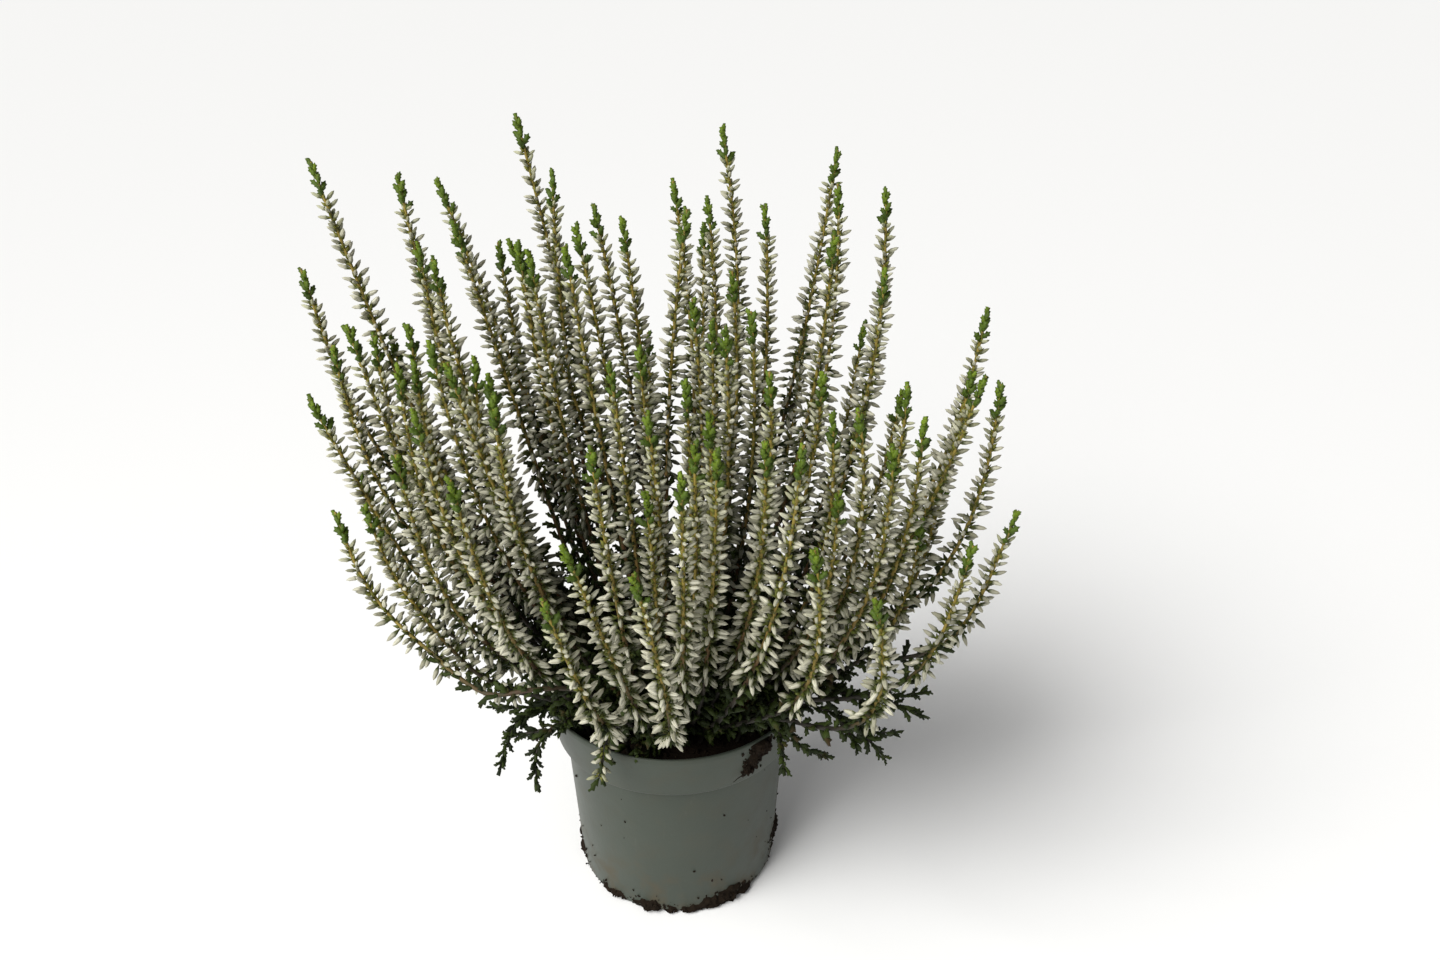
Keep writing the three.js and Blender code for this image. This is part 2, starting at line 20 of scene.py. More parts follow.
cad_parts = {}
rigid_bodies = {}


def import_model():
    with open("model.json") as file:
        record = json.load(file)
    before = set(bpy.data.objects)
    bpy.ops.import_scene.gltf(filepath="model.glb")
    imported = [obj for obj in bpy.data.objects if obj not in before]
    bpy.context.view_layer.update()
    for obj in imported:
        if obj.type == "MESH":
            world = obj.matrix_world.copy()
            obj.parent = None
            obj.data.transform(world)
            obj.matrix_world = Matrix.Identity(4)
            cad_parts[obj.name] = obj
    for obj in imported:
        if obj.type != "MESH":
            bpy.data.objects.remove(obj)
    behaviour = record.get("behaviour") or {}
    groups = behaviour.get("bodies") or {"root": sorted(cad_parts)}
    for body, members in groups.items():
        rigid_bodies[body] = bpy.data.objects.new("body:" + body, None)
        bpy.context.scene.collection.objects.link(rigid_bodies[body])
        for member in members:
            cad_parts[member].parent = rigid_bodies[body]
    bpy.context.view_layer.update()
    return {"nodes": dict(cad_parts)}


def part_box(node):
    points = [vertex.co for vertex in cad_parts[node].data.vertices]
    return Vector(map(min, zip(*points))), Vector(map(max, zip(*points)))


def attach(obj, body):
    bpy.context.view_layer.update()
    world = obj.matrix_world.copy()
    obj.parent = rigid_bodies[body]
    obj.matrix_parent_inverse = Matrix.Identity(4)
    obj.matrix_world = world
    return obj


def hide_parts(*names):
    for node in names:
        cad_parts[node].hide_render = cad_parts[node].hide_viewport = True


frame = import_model()
MM = 0.001
SPRAYS = sorted(name for name in frame["nodes"] if name.startswith("flowering_spray"))
TWIGS = sorted(name for name in frame["nodes"] if name.startswith("leafy_twig"))
print(f"{len(SPRAYS)} flowering sprays, {len(TWIGS)} leafy twigs")

# %% [markdown]
# Camera, floor and light
#
# The plant stands on white and is seen from a little above, 27 degrees down, from only half a metre
# away, so the pot narrows strongly towards its foot. The camera could be aimed with a Track To
# constraint, but its place and angle are known, so they are simply set.
#
# The light is a studio's: an even white surround, a wide soft light from high at the front left that
# falls on the plant and on the whole floor alike, and a lamp closer by that favours the front buds.

# %% Camera
CAMERA_PLACE = (0.0211, -0.4442, 0.4330)
LOOK_DOWN = math.radians(27.2)
LENS_MM = 29.2

camera_data = bpy.data.cameras.new("camera")
camera_data.lens = LENS_MM
camera_data.sensor_width = 36
camera_data.clip_start = 0.01
camera = bpy.data.objects.new("camera", camera_data)
camera.location = CAMERA_PLACE
camera.rotation_euler = (math.pi / 2 - LOOK_DOWN, 0, 0)
bpy.context.scene.collection.objects.link(camera)
bpy.context.scene.camera = camera
bpy.context.scene.view_settings.view_transform = "Standard"


# %% Light and floor
LAMP_COLOUR = (1, 0.995, 0.975)
PLANT_MIDDLE = Vector((0, 0, 0.16))
SURROUND_STRENGTH = 0.27
FLOOR_WHITE = (0.93, 0.93, 0.93, 1)
FLOOR_HALF = 30
FLOOR_LEVEL = -0.0002


def aimed_lamp(name, kind, place, power, **settings):
    """A lamp that faces the middle of the plant."""
    data = bpy.data.lights.new(name, kind)
    data.energy = power
    for key, value in settings.items():
        setattr(data, key, value)
    lamp = bpy.data.objects.new(name, data)
    lamp.location = place
    lamp.rotation_euler = (PLANT_MIDDLE - Vector(place)).to_track_quat("-Z", "Y").to_euler()
    bpy.context.scene.collection.objects.link(lamp)


aimed_lamp("wide_light", "SUN", (-1.05, -0.75, 1.5), 3.3, angle=math.radians(40), color=LAMP_COLOUR)
aimed_lamp("front_lamp", "AREA", (-0.35, -0.72, 0.62), 2.4, size=0.35, color=LAMP_COLOUR)

surround = bpy.data.worlds.new("white_surround")
surround.use_nodes = True
background = surround.node_tree.nodes["Background"].inputs
background["Color"].default_value = (1, 1, 1, 1)
background["Strength"].default_value = SURROUND_STRENGTH
bpy.context.scene.world = surround


def plain_object(name, mesh):
    """An object at the origin that holds a mesh."""
    thing = bpy.data.objects.new(name, mesh)
    bpy.context.scene.collection.objects.link(thing)
    return thing


square = [(-1, -1), (1, -1), (1, 1), (-1, 1)]
corners = [(x * FLOOR_HALF, y * FLOOR_HALF, FLOOR_LEVEL) for x, y in square]
floor_mesh = bpy.data.meshes.new("floor")
floor_mesh.from_pydata(corners, [], [(0, 1, 2, 3)])
floor = plain_object("floor", floor_mesh)
floor_white = bpy.data.materials.new("floor_white")
floor_white.use_nodes = True
floor_shader = floor_white.node_tree.nodes["Principled BSDF"].inputs
floor_shader["Base Color"].default_value = FLOOR_WHITE
floor_shader["Roughness"].default_value = 0.9
floor_mesh.materials.append(floor_white)
print("camera, two lights and a floor")

# %% [markdown]
# Reading the stems
#
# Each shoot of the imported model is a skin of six-cornered rings, closed by a single point at the
# tip. That point is the only kind of vertex with six neighbours whose own outer neighbours are six
# again, so it can be found by counting. From there each next ring of vertices gives the next place
# on the stem. Drawing the stems a second time by hand would work too, but they would drift away from
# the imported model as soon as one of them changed.
#
# On a ring, two corners stand out as buds and four lie close to the stem. The mean of the four gives
# the middle.


# %% Rings under a tip
SAME_PLACE = 1e-6


def packed_mesh(name):
    """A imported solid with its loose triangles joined, as lists of places and neighbours."""
    bm = bmesh.new()
    bm.from_mesh(frame["nodes"][name].data)
    bmesh.ops.remove_doubles(bm, verts=bm.verts, dist=SAME_PLACE)
    bm.verts.index_update()
    places = np.array([v.co for v in bm.verts])
    neighbours = [{e.other_vert(v).index for e in v.link_edges} for v in bm.verts]
    bm.free()
    return places, neighbours


SHOOT_SIDES = 6
CLOSE_CORNERS = 4


def rings_under(tip, neighbours, sides):
    """The rings of vertices under a tip, as far as each has the right number of corners."""
    seen, ring, rings = {tip}, {tip}, []
    while True:
        ring = {other for v in ring for other in neighbours[v]} - seen
        if len(ring) != sides:
            return rings
        seen |= ring
        rings.append(sorted(ring))


def middle_of(ring, places):
    """The middle of a ring and its distance to the stem's own skin, from the corners that lie close."""
    corners = places[ring]
    away = np.linalg.norm(corners - corners.mean(0), axis=1)
    near = corners[np.argsort(away)[:CLOSE_CORNERS]]
    middle = near.mean(0)
    return middle, np.linalg.norm(near - middle, axis=1).mean()


FOOT_TOP = 0.0935
FOOT_CLEAR = 2 * MM
FOOT_FLAT = 0.5 * MM
BARE_RADIUS = 1.7 * MM
FEWEST_RINGS = 4


def shoots_of(name):
    """The flowering shoots of a spray: places from foot to tip, and the number of the first bud ring."""
    places, neighbours = packed_mesh(name)
    low = places[places[:, 2] < places[:, 2].min() + FOOT_FLAT].mean(0)
    foot = [low, np.array([low[0], low[1], FOOT_TOP])]
    shoots = []
    for tip in range(len(places)):
        rings = rings_under(tip, neighbours, SHOOT_SIDES)
        if len(rings) < FEWEST_RINGS:
            continue
        found = [middle_of(ring, places) for ring in rings]
        above = [(middle, radius) for middle, radius in found if middle[2] > FOOT_TOP + FOOT_CLEAR]
        line = foot + [middle for middle, _ in reversed(above)] + [places[tip]]
        bare = sum(radius < BARE_RADIUS for _, radius in above[1:])
        shoots.append((np.array(line), len(foot) + bare))
    return shoots


shoots = {name: shoots_of(name) for name in SPRAYS}
print("shoots:", sum(len(found) for found in shoots.values()))
print("places on the first shoot, mm:", (shoots[SPRAYS[0]][0][0] / MM).round().astype(int).tolist())

# %% [markdown]
# The leafy twigs are forked, so their rings break at each fork. There the line is the shortest way
# over the skin from a tip down to the foot, which is never more than a leaf's width off the middle.
# A side branch ends where it comes close to a line that is already there.

# %% Lines of the leafy twigs
import heapq

JOIN_DISTANCE = 2.2 * MM
TWIG_SIDES = 3
FEWEST_TWIG_RINGS = 2
SMOOTHING_ROUNDS = 2


def ways_from(start, places, neighbours):
    """For every vertex, the one before it on the shortest way over the mesh from start."""
    best, before, queue = {start: 0.0}, {start: None}, [(0.0, start)]
    while queue:
        length, v = heapq.heappop(queue)
        if length > best[v]:
            continue
        for other in neighbours[v]:
            longer = length + np.linalg.norm(places[v] - places[other])
            if longer < best.get(other, math.inf):
                best[other], before[other] = longer, v
                heapq.heappush(queue, (longer, other))
    return best, before


def branches_of(name):
    """The main stem and side branches of a leafy twig, each as places from its root to its tip."""
    places, neighbours = packed_mesh(name)
    foot = int(np.argmin(places[:, 2]))
    best, before = ways_from(foot, places, neighbours)
    heights = [len(rings_under(v, neighbours, TWIG_SIDES)) for v in range(len(places))]
    tips = [v for v, rings in enumerate(heights) if rings >= FEWEST_TWIG_RINGS]
    lines = []
    for tip in sorted(tips, key=lambda v: -best[v]):
        way, v = [], tip
        while v is not None:
            way.append(places[v])
            used = [np.linalg.norm(line - places[v], axis=1).min() for line in lines]
            if used and min(used) < JOIN_DISTANCE:
                break
            v = before[v]
        line = np.array(way[::-1])
        for _ in range(SMOOTHING_ROUNDS):
            line[1:-1] = (line[:-2] + 2 * line[1:-1] + line[2:]) / 4
        if len(line) > 2:
            lines.append(line)
    return lines


twig_lines = [line for name in TWIGS for line in branches_of(name)]
print("stems and branches of the leafy twigs:", len(twig_lines))

# %% [markdown]
# Smooth lines
#
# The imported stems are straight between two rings. A real shoot bends evenly, so each line is turned
# into a smooth curve through the same places. It is then cut by length: the part with buds, the
# leafy tip, and the bare part below with its small leafy side shoots. Each part runs a little into
# the next, so that no naked stem is left between them.
#
# Buds start where a stem has turned upward. At the left the stems rise slowly and carry buds early,
# at the right they leave the crown nearly level and carry buds only where they stand up.


# %% Smoothing and cutting
SAMPLE_STEP = 2.5 * MM


def smooth_line(places, step=SAMPLE_STEP):
    """Places at even steps on a smooth curve through the given ones."""
    gaps = np.linalg.norm(np.diff(places, axis=0), axis=1)
    at = np.concatenate([[0], np.cumsum(gaps)])
    slopes = np.gradient(places, at, axis=0)
    wanted = np.linspace(0, at[-1], max(3, round(at[-1] / step) + 1))
    k = np.clip(np.searchsorted(at, wanted, "right") - 1, 0, len(gaps) - 1)
    h = gaps[k][:, None]
    t = (wanted - at[k])[:, None] / h
    start = (2 * t**3 - 3 * t**2 + 1) * places[k] + (t**3 - 2 * t**2 + t) * h * slopes[k]
    end = (3 * t**2 - 2 * t**3) * places[k + 1] + (t**3 - t**2) * h * slopes[k + 1]
    return start + end, wanted, at


def cut(line, wanted, low, high):
    """The part of a sampled line between two lengths."""
    return line[(wanted >= low) & (wanted <= high)]


# %% Parts of each stem
LEAFY_TIP = 16 * MM
BUDS_END_BELOW = 0.8 * LEAFY_TIP
TIP_STOPS_BELOW = 2 * MM
BUDS_START_ABOVE = 8 * MM
LEAVES_AMONG_BUDS = 10 * MM
LOW_TIP = 0.105
BARE_FROM = 0.097
LEAST_RISE_LEFT = 0.35
LEAST_RISE_RIGHT = 0.8


def where_buds_start(line, wanted, first):
    """The length at which a stem, past its first bud ring, has turned upward."""
    rise = np.gradient(line[:, 2], wanted)
    least = LEAST_RISE_LEFT if line[-1][0] < 0 else LEAST_RISE_RIGHT
    upright = (wanted >= first) & (rise > least)
    return wanted[np.argmax(upright)] if upright.any() else first


spikes, tips, bare_parts, whole_stems = [], [], [], []
for places, first_bud in (shoot for name in SPRAYS for shoot in shoots[name]):
    line, wanted, at = smooth_line(places)
    whole_stems.append(line)
    start, end = at[first_bud], at[-1]
    if places[-1][2] < LOW_TIP:
        hanging = cut(line, wanted, start, end)
        spikes.append(hanging)
        bare_parts.append(hanging)
    else:
        start = where_buds_start(line, wanted, start + BUDS_START_ABOVE)
        spikes.append(cut(line, wanted, start, end - BUDS_END_BELOW))
        tips.append(cut(line, wanted, end - LEAFY_TIP, end - TIP_STOPS_BELOW))
    bare = cut(line, wanted, 0, start + LEAVES_AMONG_BUDS)
    bare_parts.append(bare[bare[:, 2] > BARE_FROM])
lengths = [len(line) * SAMPLE_STEP / MM for line in spikes]
print(f"spikes: {len(spikes)}, {min(lengths):.0f} to {max(lengths):.0f} mm long")

# %% Parts of each twig
OVER_LIP = 0.06
TWIG_LOWEST = 0.09
LEAFY_FROM = 0.096


def far_out(line):
    """Which places of a line lie past the pot's lip."""
    return np.hypot(line[:, 0], line[:, 1]) > OVER_LIP


def kept_short(line):
    """A line that stops where it would hang too far down outside the pot."""
    hangs = (line[:, 2] < TWIG_LOWEST) & far_out(line)
    return line[: np.argmax(hangs)] if hangs.any() else line


twig_stems = [kept_short(smooth_line(line)[0]) for line in twig_lines]
twig_stems = [line for line in twig_stems if len(line) > 2]
leafy_parts = [line[(line[:, 2] > LEAFY_FROM) | far_out(line)] for line in twig_stems]
leafy_parts = [line for line in leafy_parts if len(line) > 2]
print(f"twig stems: {len(twig_stems)}, with leaves: {len(leafy_parts)}")

# %% [markdown]
# Small parts that repeat
#
# A bud, its bracts, a scale leaf, a leafy finger and a crumb of soil are each modelled once and then
# set many thousands of times, so each has only a few dozen faces. All but the crumb are rings of
# corners round +Z with a point at both ends. A subdivided sphere would need ten times the faces for
# the same outline.


# %% A solid from rings
def built_object(name, bm):
    """An object at the origin that holds what was built in bm."""
    mesh = bpy.data.meshes.new(name)
    bm.to_mesh(mesh)
    bm.free()
    return plain_object(name, mesh)


def ring_solid(name, rings, low, high):
    """A closed solid round +Z, in mm: points at heights low and high, rings of (x, y, z) between."""
    bm = bmesh.new()
    uv = bm.loops.layers.uv.new("UVMap")
    sides = len(rings[0])
    levels = [[bm.verts.new((0, 0, low))] * sides]
    levels += [[bm.verts.new(corner) for corner in ring] for ring in rings]
    levels += [[bm.verts.new((0, 0, high))] * sides]
    for k in range(len(levels) - 1):
        for i in range(sides):
            j = (i + 1) % sides
            corners = [(levels[k][i], i), (levels[k][j], i + 1)]
            corners += [(levels[k + 1][j], i + 1), (levels[k + 1][i], i)]
            kept = []
            for vert, column in corners:
                if all(vert is not other for other, _ in kept):
                    kept.append((vert, column))
            face = bm.faces.new([vert for vert, _ in kept])
            face.smooth = True
            for loop, (vert, column) in zip(face.loops, kept):
                loop[uv].uv = (column / sides, (vert.co.z - low) / (high - low))
    bmesh.ops.scale(bm, vec=(MM, MM, MM), verts=bm.verts)
    bmesh.ops.triangulate(bm, faces=bm.faces)
    small_part = built_object(name, bm)
    small_part.hide_render = True
    print(name, "has", len(small_part.data.polygons), "triangles")
    return small_part


def ring(height, radius, sides, turn=0.0, ridge=0.0, rise=0.0):
    """Corners of a ring. Every second one stands ridge further out and rise further up."""
    corners = []
    for i in range(sides):
        angle = 2 * math.pi * i / sides + turn
        out = radius + (ridge if i % 2 else 0)
        up = height + (rise if i % 2 else 0)
        corners.append((out * math.cos(angle), out * math.sin(angle), up))
    return corners


# %% [markdown]
# A closed heather bud is a pointed oval of folded petals, 6 mm long and 2.1 mm wide, widest below its
# middle. Six corners a ring are enough for an outline this small; the folds between the petals are
# left to the material. At its base stand green bracts, which reach a third up the bud, on a short
# stalk.

# %% Bud and bracts
BUD_BASE, BUD_LENGTH = 0.2, 6.15
BUD_SIDES = 6
BUD_TURN = 0.25
bud_rings = [
    ring(0.9, 0.78, BUD_SIDES),
    ring(2.6, 1.04, BUD_SIDES, BUD_TURN),
    ring(4.8, 0.74, BUD_SIDES, 2 * BUD_TURN),
]
bud = ring_solid("bud_shape", bud_rings, BUD_BASE, BUD_LENGTH)

STALK_FOOT, BRACT_CUP = -1.6, 1.3
BRACT_SIDES = 4
bract_rings = [
    ring(0.0, 0.42, BRACT_SIDES),
    ring(BRACT_CUP, 1.05, BRACT_SIDES, turn=0.4, ridge=0.16, rise=1.3),
]
bracts = ring_solid("bract_shape", bract_rings, STALK_FOOT, BRACT_CUP)

# %% [markdown]
# Heather leaves are tiny scales that lie against their twig in four rows, so a leafy twig looks like
# a knobbly cord. A whole finger of it is one solid: rings of four or six corners, each ring turned by
# half a step from the one below, and every third corner drawn out and up as the point of a leaf.


# %% Leaf and leafy fingers
FINGER_WAIST = 0.72
FINGER_SWELL = 0.5
POINT_RISE = 0.75


def finger_rings(length, radius, point, sides, count):
    """Rings of a leafy finger that swells from its root and narrows to its tip."""
    rings = []
    for k in range(count):
        share = (k + 0.6) / count
        swell = FINGER_WAIST + FINGER_SWELL * math.sin(math.pi * share)
        height = length * share
        corners = []
        for i in range(sides):
            angle = 2 * math.pi * (i + k / 2) / sides
            drawn = (i - k) % 3 == 0
            out = swell * (radius + (point if drawn else 0))
            up = height + (POINT_RISE if drawn else 0)
            corners.append((out * math.cos(angle), out * math.sin(angle), up))
        rings.append(corners)
    return rings


leaf = ring_solid("leaf_shape", [ring(1.0, 0.62, 4, ridge=0.2)], -0.4, 3.2)
tip_rings = finger_rings(length=3.9, radius=0.72, point=0.42, sides=6, count=5)
tip_finger = ring_solid("tip_finger_shape", tip_rings, -0.5, 4.5)
side_rings = finger_rings(length=4.6, radius=0.64, point=0.5, sides=4, count=5)
side_finger = ring_solid("side_finger_shape", side_rings, -0.6, 5.3)


# %% Crumb of soil
CRUMB_RADIUS = 1 * MM
CRUMB_ROUGHNESS = 0.75
CRUMB_STRETCH = Vector((1.3, 0.9, 0.6))
CRUMB_SEED = Vector((3.7, 0, 0))


def crumb_shape(name):
    """A rough crumb: a coarse ball with each corner pushed in or out."""
    bm = bmesh.new()
    bmesh.ops.create_icosphere(bm, subdivisions=1, radius=CRUMB_RADIUS)
    for vert in bm.verts:
        push = noise.noise(vert.co * (1.7 / CRUMB_RADIUS) + CRUMB_SEED)
        vert.co *= 1 + CRUMB_ROUGHNESS * push
        vert.co *= CRUMB_STRETCH
    small_part = built_object(name, bm)
    small_part.hide_render = True
    print(name, "has", len(small_part.data.polygons), "triangles")
    return small_part


crumb = crumb_shape("crumb_shape")

# %% [markdown]
# Helpers for node trees
#
# Every tree below is built from the same few calls: make a tree with named inputs, add a node, link
# it. An input of a node is given by its identifier, because some nodes have several inputs with one
# name. Where the value is an output of another node, it is linked; otherwise it is set.


# %% Building a tree
def new_tree(name, inputs):
    """A geometry tree with named inputs (name, socket type, default) and one geometry output."""
    tree = bpy.data.node_groups.new(name, "GeometryNodeTree")
    tree.interface.new_socket("Geometry", in_out="OUTPUT", socket_type="NodeSocketGeometry")
    tree.interface.new_socket("Geometry", in_out="INPUT", socket_type="NodeSocketGeometry")
    for label, kind, default in inputs:
        socket = tree.interface.new_socket(label, in_out="INPUT", socket_type="NodeSocket" + kind)
        if default is not None:
            socket.default_value = default
    return tree, tree.nodes.new("NodeGroupInput").outputs, tree.nodes.new("NodeGroupOutput").inputs


def socket_of(sockets, identifier):
    """The socket with that identifier, or else with that name."""
    exact = [s for s in sockets if s.identifier == identifier]
    return (exact or [s for s in sockets if s.name == identifier])[0]


def add_node(tree, kind, inputs=None, output=0, **settings):
    """Adds a node, sets or links its inputs, and returns one of its outputs."""
    node = tree.nodes.new(kind)
    for key, value in settings.items():
        setattr(node, key, value)
    for key, value in (inputs or {}).items():
        socket = node.inputs[key] if isinstance(key, int) else socket_of(node.inputs, key)
        if isinstance(value, bpy.types.NodeSocket):
            tree.links.new(value, socket)
        else:
            socket.default_value = value
    return node.outputs[output] if isinstance(output, int) else socket_of(node.outputs, output)


def maths(tree, operation, a, b=0.0, c=0.0):
    """One sum on one, two or three numbers."""
    return add_node(tree, "ShaderNodeMath", {0: a, 1: b, 2: c}, operation=operation)


def between(tree, low, high, share):
    """The number at that share of the way from low to high."""
    spots = {"Factor_Float": share, "A_Float": low, "B_Float": high}
    return add_node(tree, "ShaderNodeMix", spots, "Result_Float", data_type="FLOAT")


def random_number(tree, low, high, seed):
    """A different number for each place, the same in each run."""
    spots = {"Min_001": low, "Max_001": high, "Seed": seed}
    return add_node(tree, "FunctionNodeRandomValue", spots, "Value_001", data_type="FLOAT")


def turned(tree, rotation, axis, angle):
    """A rotation followed by a turn about one of its own axes."""
    turn = add_node(tree, "FunctionNodeAxisAngleToRotation", {"Axis": axis, "Angle": angle})
    spots = {"Rotation": rotation, "Rotate By": turn}
    return add_node(tree, "FunctionNodeRotateRotation", spots, rotation_space="LOCAL")


def keep(tree, geometry, name, value, domain):
    """Stores a number on the geometry under a name, for the materials to read."""
    spots = {"Geometry": geometry, "Name": name, "Value": value}
    kind = "GeometryNodeStoreNamedAttribute"
    return add_node(tree, kind, spots, data_type="FLOAT", domain=domain)


def shape_of(tree, thing):
    """The shape of an object that is handed in to a tree."""
    return add_node(tree, "GeometryNodeObjectInfo", {"Object": thing}, "Geometry")


def hand_out(tree, shape, given, result):
    """The last steps of a tree: makes copies real, sets the material and gives the shape out."""
    shape = add_node(tree, "GeometryNodeRealizeInstances", {"Geometry": shape})
    spots = {"Geometry": shape, "Material": given["Material"]}
    tree.links.new(add_node(tree, "GeometryNodeSetMaterial", spots), result["Geometry"])


def set_inputs(modifier, values):
    """Sets the inputs of a modifier, which Blender stores under the sockets' identifiers."""
    for item in modifier.node_group.interface.items_tree:
        if item.in_out == "INPUT" and item.name in values:
            modifier[item.identifier] = values[item.name]


def made_by(tree, name, values, host=None):
    """Runs a tree on a host mesh and returns what it makes as a plain mesh object."""
    host = host or plain_object(name + "_host", bpy.data.meshes.new(name + "_host"))
    modifier = host.modifiers.new("make", "NODES")
    modifier.node_group = tree
    set_inputs(modifier, values)
    scene_now = bpy.context.evaluated_depsgraph_get()
    mesh = bpy.data.meshes.new_from_object(host.evaluated_get(scene_now), depsgraph=scene_now)
    host.modifiers.remove(modifier)
    bpy.data.objects.remove(host)
    mesh.name = name
    mesh.calc_loop_triangles()
    print(f"{name}: {len(mesh.loop_triangles)} triangles")
    return plain_object(name, mesh)


# %% [markdown]
# Tree 1: tubes along the stems
#
# A stem is a tube that narrows from foot to tip. A curve's bevel could make it too, but a tree keeps
# the width in one place and stores how far up the stem each ring is, so that the bark's material can
# turn from brown at the foot to green at the tip.

# %% Stem tree
tube_inputs = [
    ("Stems", "Object", None),
    ("Ring every", "Float", 6 * MM),
    ("Foot radius", "Float", 1.5 * MM),
    ("Tip radius", "Float", 0.5 * MM),
    ("Sides", "Int", 6),
    ("Material", "Material", None),
]
tube_tree, given, result = new_tree("tubes_along_stems", tube_inputs)
spots = {"Curve": shape_of(tube_tree, given["Stems"]), "Length": given["Ring every"]}
lines = add_node(tube_tree, "GeometryNodeResampleCurve", spots, mode="LENGTH")
share = add_node(tube_tree, "GeometryNodeSplineParameter")
lines = keep(tube_tree, lines, "share", share, "POINT")
width = between(tube_tree, given["Foot radius"], given["Tip radius"], share)
spots = {"Resolution": given["Sides"], "Radius": 1.0}
circle = add_node(tube_tree, "GeometryNodeCurvePrimitiveCircle", spots)
spots = {"Curve": lines, "Profile Curve": circle, "Scale": width, "Fill Caps": True}
tubes = add_node(tube_tree, "GeometryNodeCurveToMesh", spots)
tubes = add_node(tube_tree, "GeometryNodeSetShadeSmooth", {"Geometry": tubes})
hand_out(tube_tree, tubes, given, result)
print("stem tree has", len(tube_tree.nodes), "nodes")

# %% [markdown]
# Tree 2: small parts set along stems
#
# This tree does most of the work. It puts a small part at even steps along every stem, turns each one
# further round the stem than the last, tilts it outwards and moves it out by a short reach. Heather
# sets its buds and leaves in opposite pairs, each pair a quarter turn from the one below, so there is
# a turn from one part to the next and another from pair to pair. Reach and tilt change fastest near
# the foot of a stem, where old buds hang, and size changes fastest near its tip, where young ones are
# still small. The tree also stores a random tint for each part.

# %% Tree for parts along stems
part_inputs = [
    ("Stems", "Object", None),
    ("Part", "Object", None),
    ("Spacing", "Float", 1 * MM),
    ("Turn", "Float", math.pi),
    ("Pair turn", "Float", math.pi / 2),
    ("Turn spread", "Float", 0.3),
    ("Foot tilt", "Float", 1.7),
    ("Tip tilt", "Float", 1.0),
    ("Tilt spread", "Float", 0.2),
    ("Foot reach", "Float", 2 * MM),
    ("Tip reach", "Float", 0.0),
    ("Foot size", "Float", 1.0),
    ("Tip size", "Float", 0.8),
    ("Size spread", "Float", 0.15),
    ("Seed", "Int", 1),
    ("Material", "Material", None),
]
part_tree, given, result = new_tree("parts_along_stems", part_inputs)
share = add_node(part_tree, "GeometryNodeSplineParameter")
lines = keep(part_tree, shape_of(part_tree, given["Stems"]), "share", share, "POINT")
spots = {"Curve": lines, "Length": given["Spacing"]}
points = add_node(part_tree, "GeometryNodeCurveToPoints", spots, mode="LENGTH")
along = socket_of(points.node.outputs, "Rotation")
share = add_node(part_tree, "GeometryNodeInputNamedAttribute", {"Name": "share"}, data_type="FLOAT")
oldness = maths(part_tree, "POWER", maths(part_tree, "SUBTRACT", 1.0, share), 2.0)
youth = maths(part_tree, "POWER", share, 3.0)

number = add_node(part_tree, "GeometryNodeInputIndex")
pair = maths(part_tree, "FLOOR", maths(part_tree, "MULTIPLY", number, 0.5))
round_stem = maths(part_tree, "MULTIPLY", number, given["Turn"])
round_stem = maths(part_tree, "MULTIPLY_ADD", pair, given["Pair turn"], round_stem)
spread = random_number(part_tree, -1.0, 1.0, given["Seed"])
round_stem = maths(part_tree, "MULTIPLY_ADD", spread, given["Turn spread"], round_stem)
tilt = between(part_tree, given["Tip tilt"], given["Foot tilt"], oldness)
spread = random_number(part_tree, -1.0, 1.0, maths(part_tree, "ADD", given["Seed"], 1.0))
tilt = maths(part_tree, "MULTIPLY_ADD", spread, given["Tilt spread"], tilt)
facing = turned(part_tree, turned(part_tree, along, (0, 0, 1), round_stem), (1, 0, 0), tilt)

size = between(part_tree, given["Foot size"], given["Tip size"], youth)
spread = random_number(part_tree, -1.0, 1.0, maths(part_tree, "ADD", given["Seed"], 2.0))
growth = maths(part_tree, "MULTIPLY_ADD", spread, given["Size spread"], 1.0)
size = maths(part_tree, "MULTIPLY", size, growth)
spots = {"Points": points, "Rotation": facing, "Scale": size}
spots["Instance"] = shape_of(part_tree, given["Part"])
parts = add_node(part_tree, "GeometryNodeInstanceOnPoints", spots)
reach = between(part_tree, given["Tip reach"], given["Foot reach"], oldness)
spots = {"Instances": parts, "Local Space": True}
spots["Translation"] = add_node(part_tree, "ShaderNodeCombineXYZ", {"Z": reach})
parts = add_node(part_tree, "GeometryNodeTranslateInstances", spots)
tint = random_number(part_tree, 0.0, 1.0, maths(part_tree, "ADD", given["Seed"], 3.0))
parts = keep(part_tree, parts, "tint", tint, "INSTANCE")
hand_out(part_tree, parts, given, result)
print("tree for parts has", len(part_tree.nodes), "nodes")

# %% [markdown]
# Finishes of the plant
#
# A finish starts from Blender's Principled shader. Colour comes from three sources: how far up its stem a
# part sits (share), a random tint for each part, and soft noise in object coordinates. Deep inside the
# plant, buds and bracts are also darkened with painted shade, which stands in for the shade that falls
# among the stems.


# %% Helpers for finishes
def new_finish(name, roughness, gloss=0.5):
    """A material, its tree, and the inputs of its shader."""
    material = bpy.data.materials.new(name)
    material.use_nodes = True
    tree = material.node_tree
    shader = tree.nodes["Principled BSDF"].inputs
    shader["Roughness"].default_value = roughness
    shader["Specular IOR Level"].default_value = gloss
    return material, tree, shader


def mixed(tree, a, b, share):
    """A colour between two others."""
    a, b = [(*c, 1) if isinstance(c, tuple) else c for c in (a, b)]
    spots = {"Factor_Float": share, "A_Color": a, "B_Color": b}
    return add_node(tree, "ShaderNodeMix", spots, "Result_Color", data_type="RGBA")


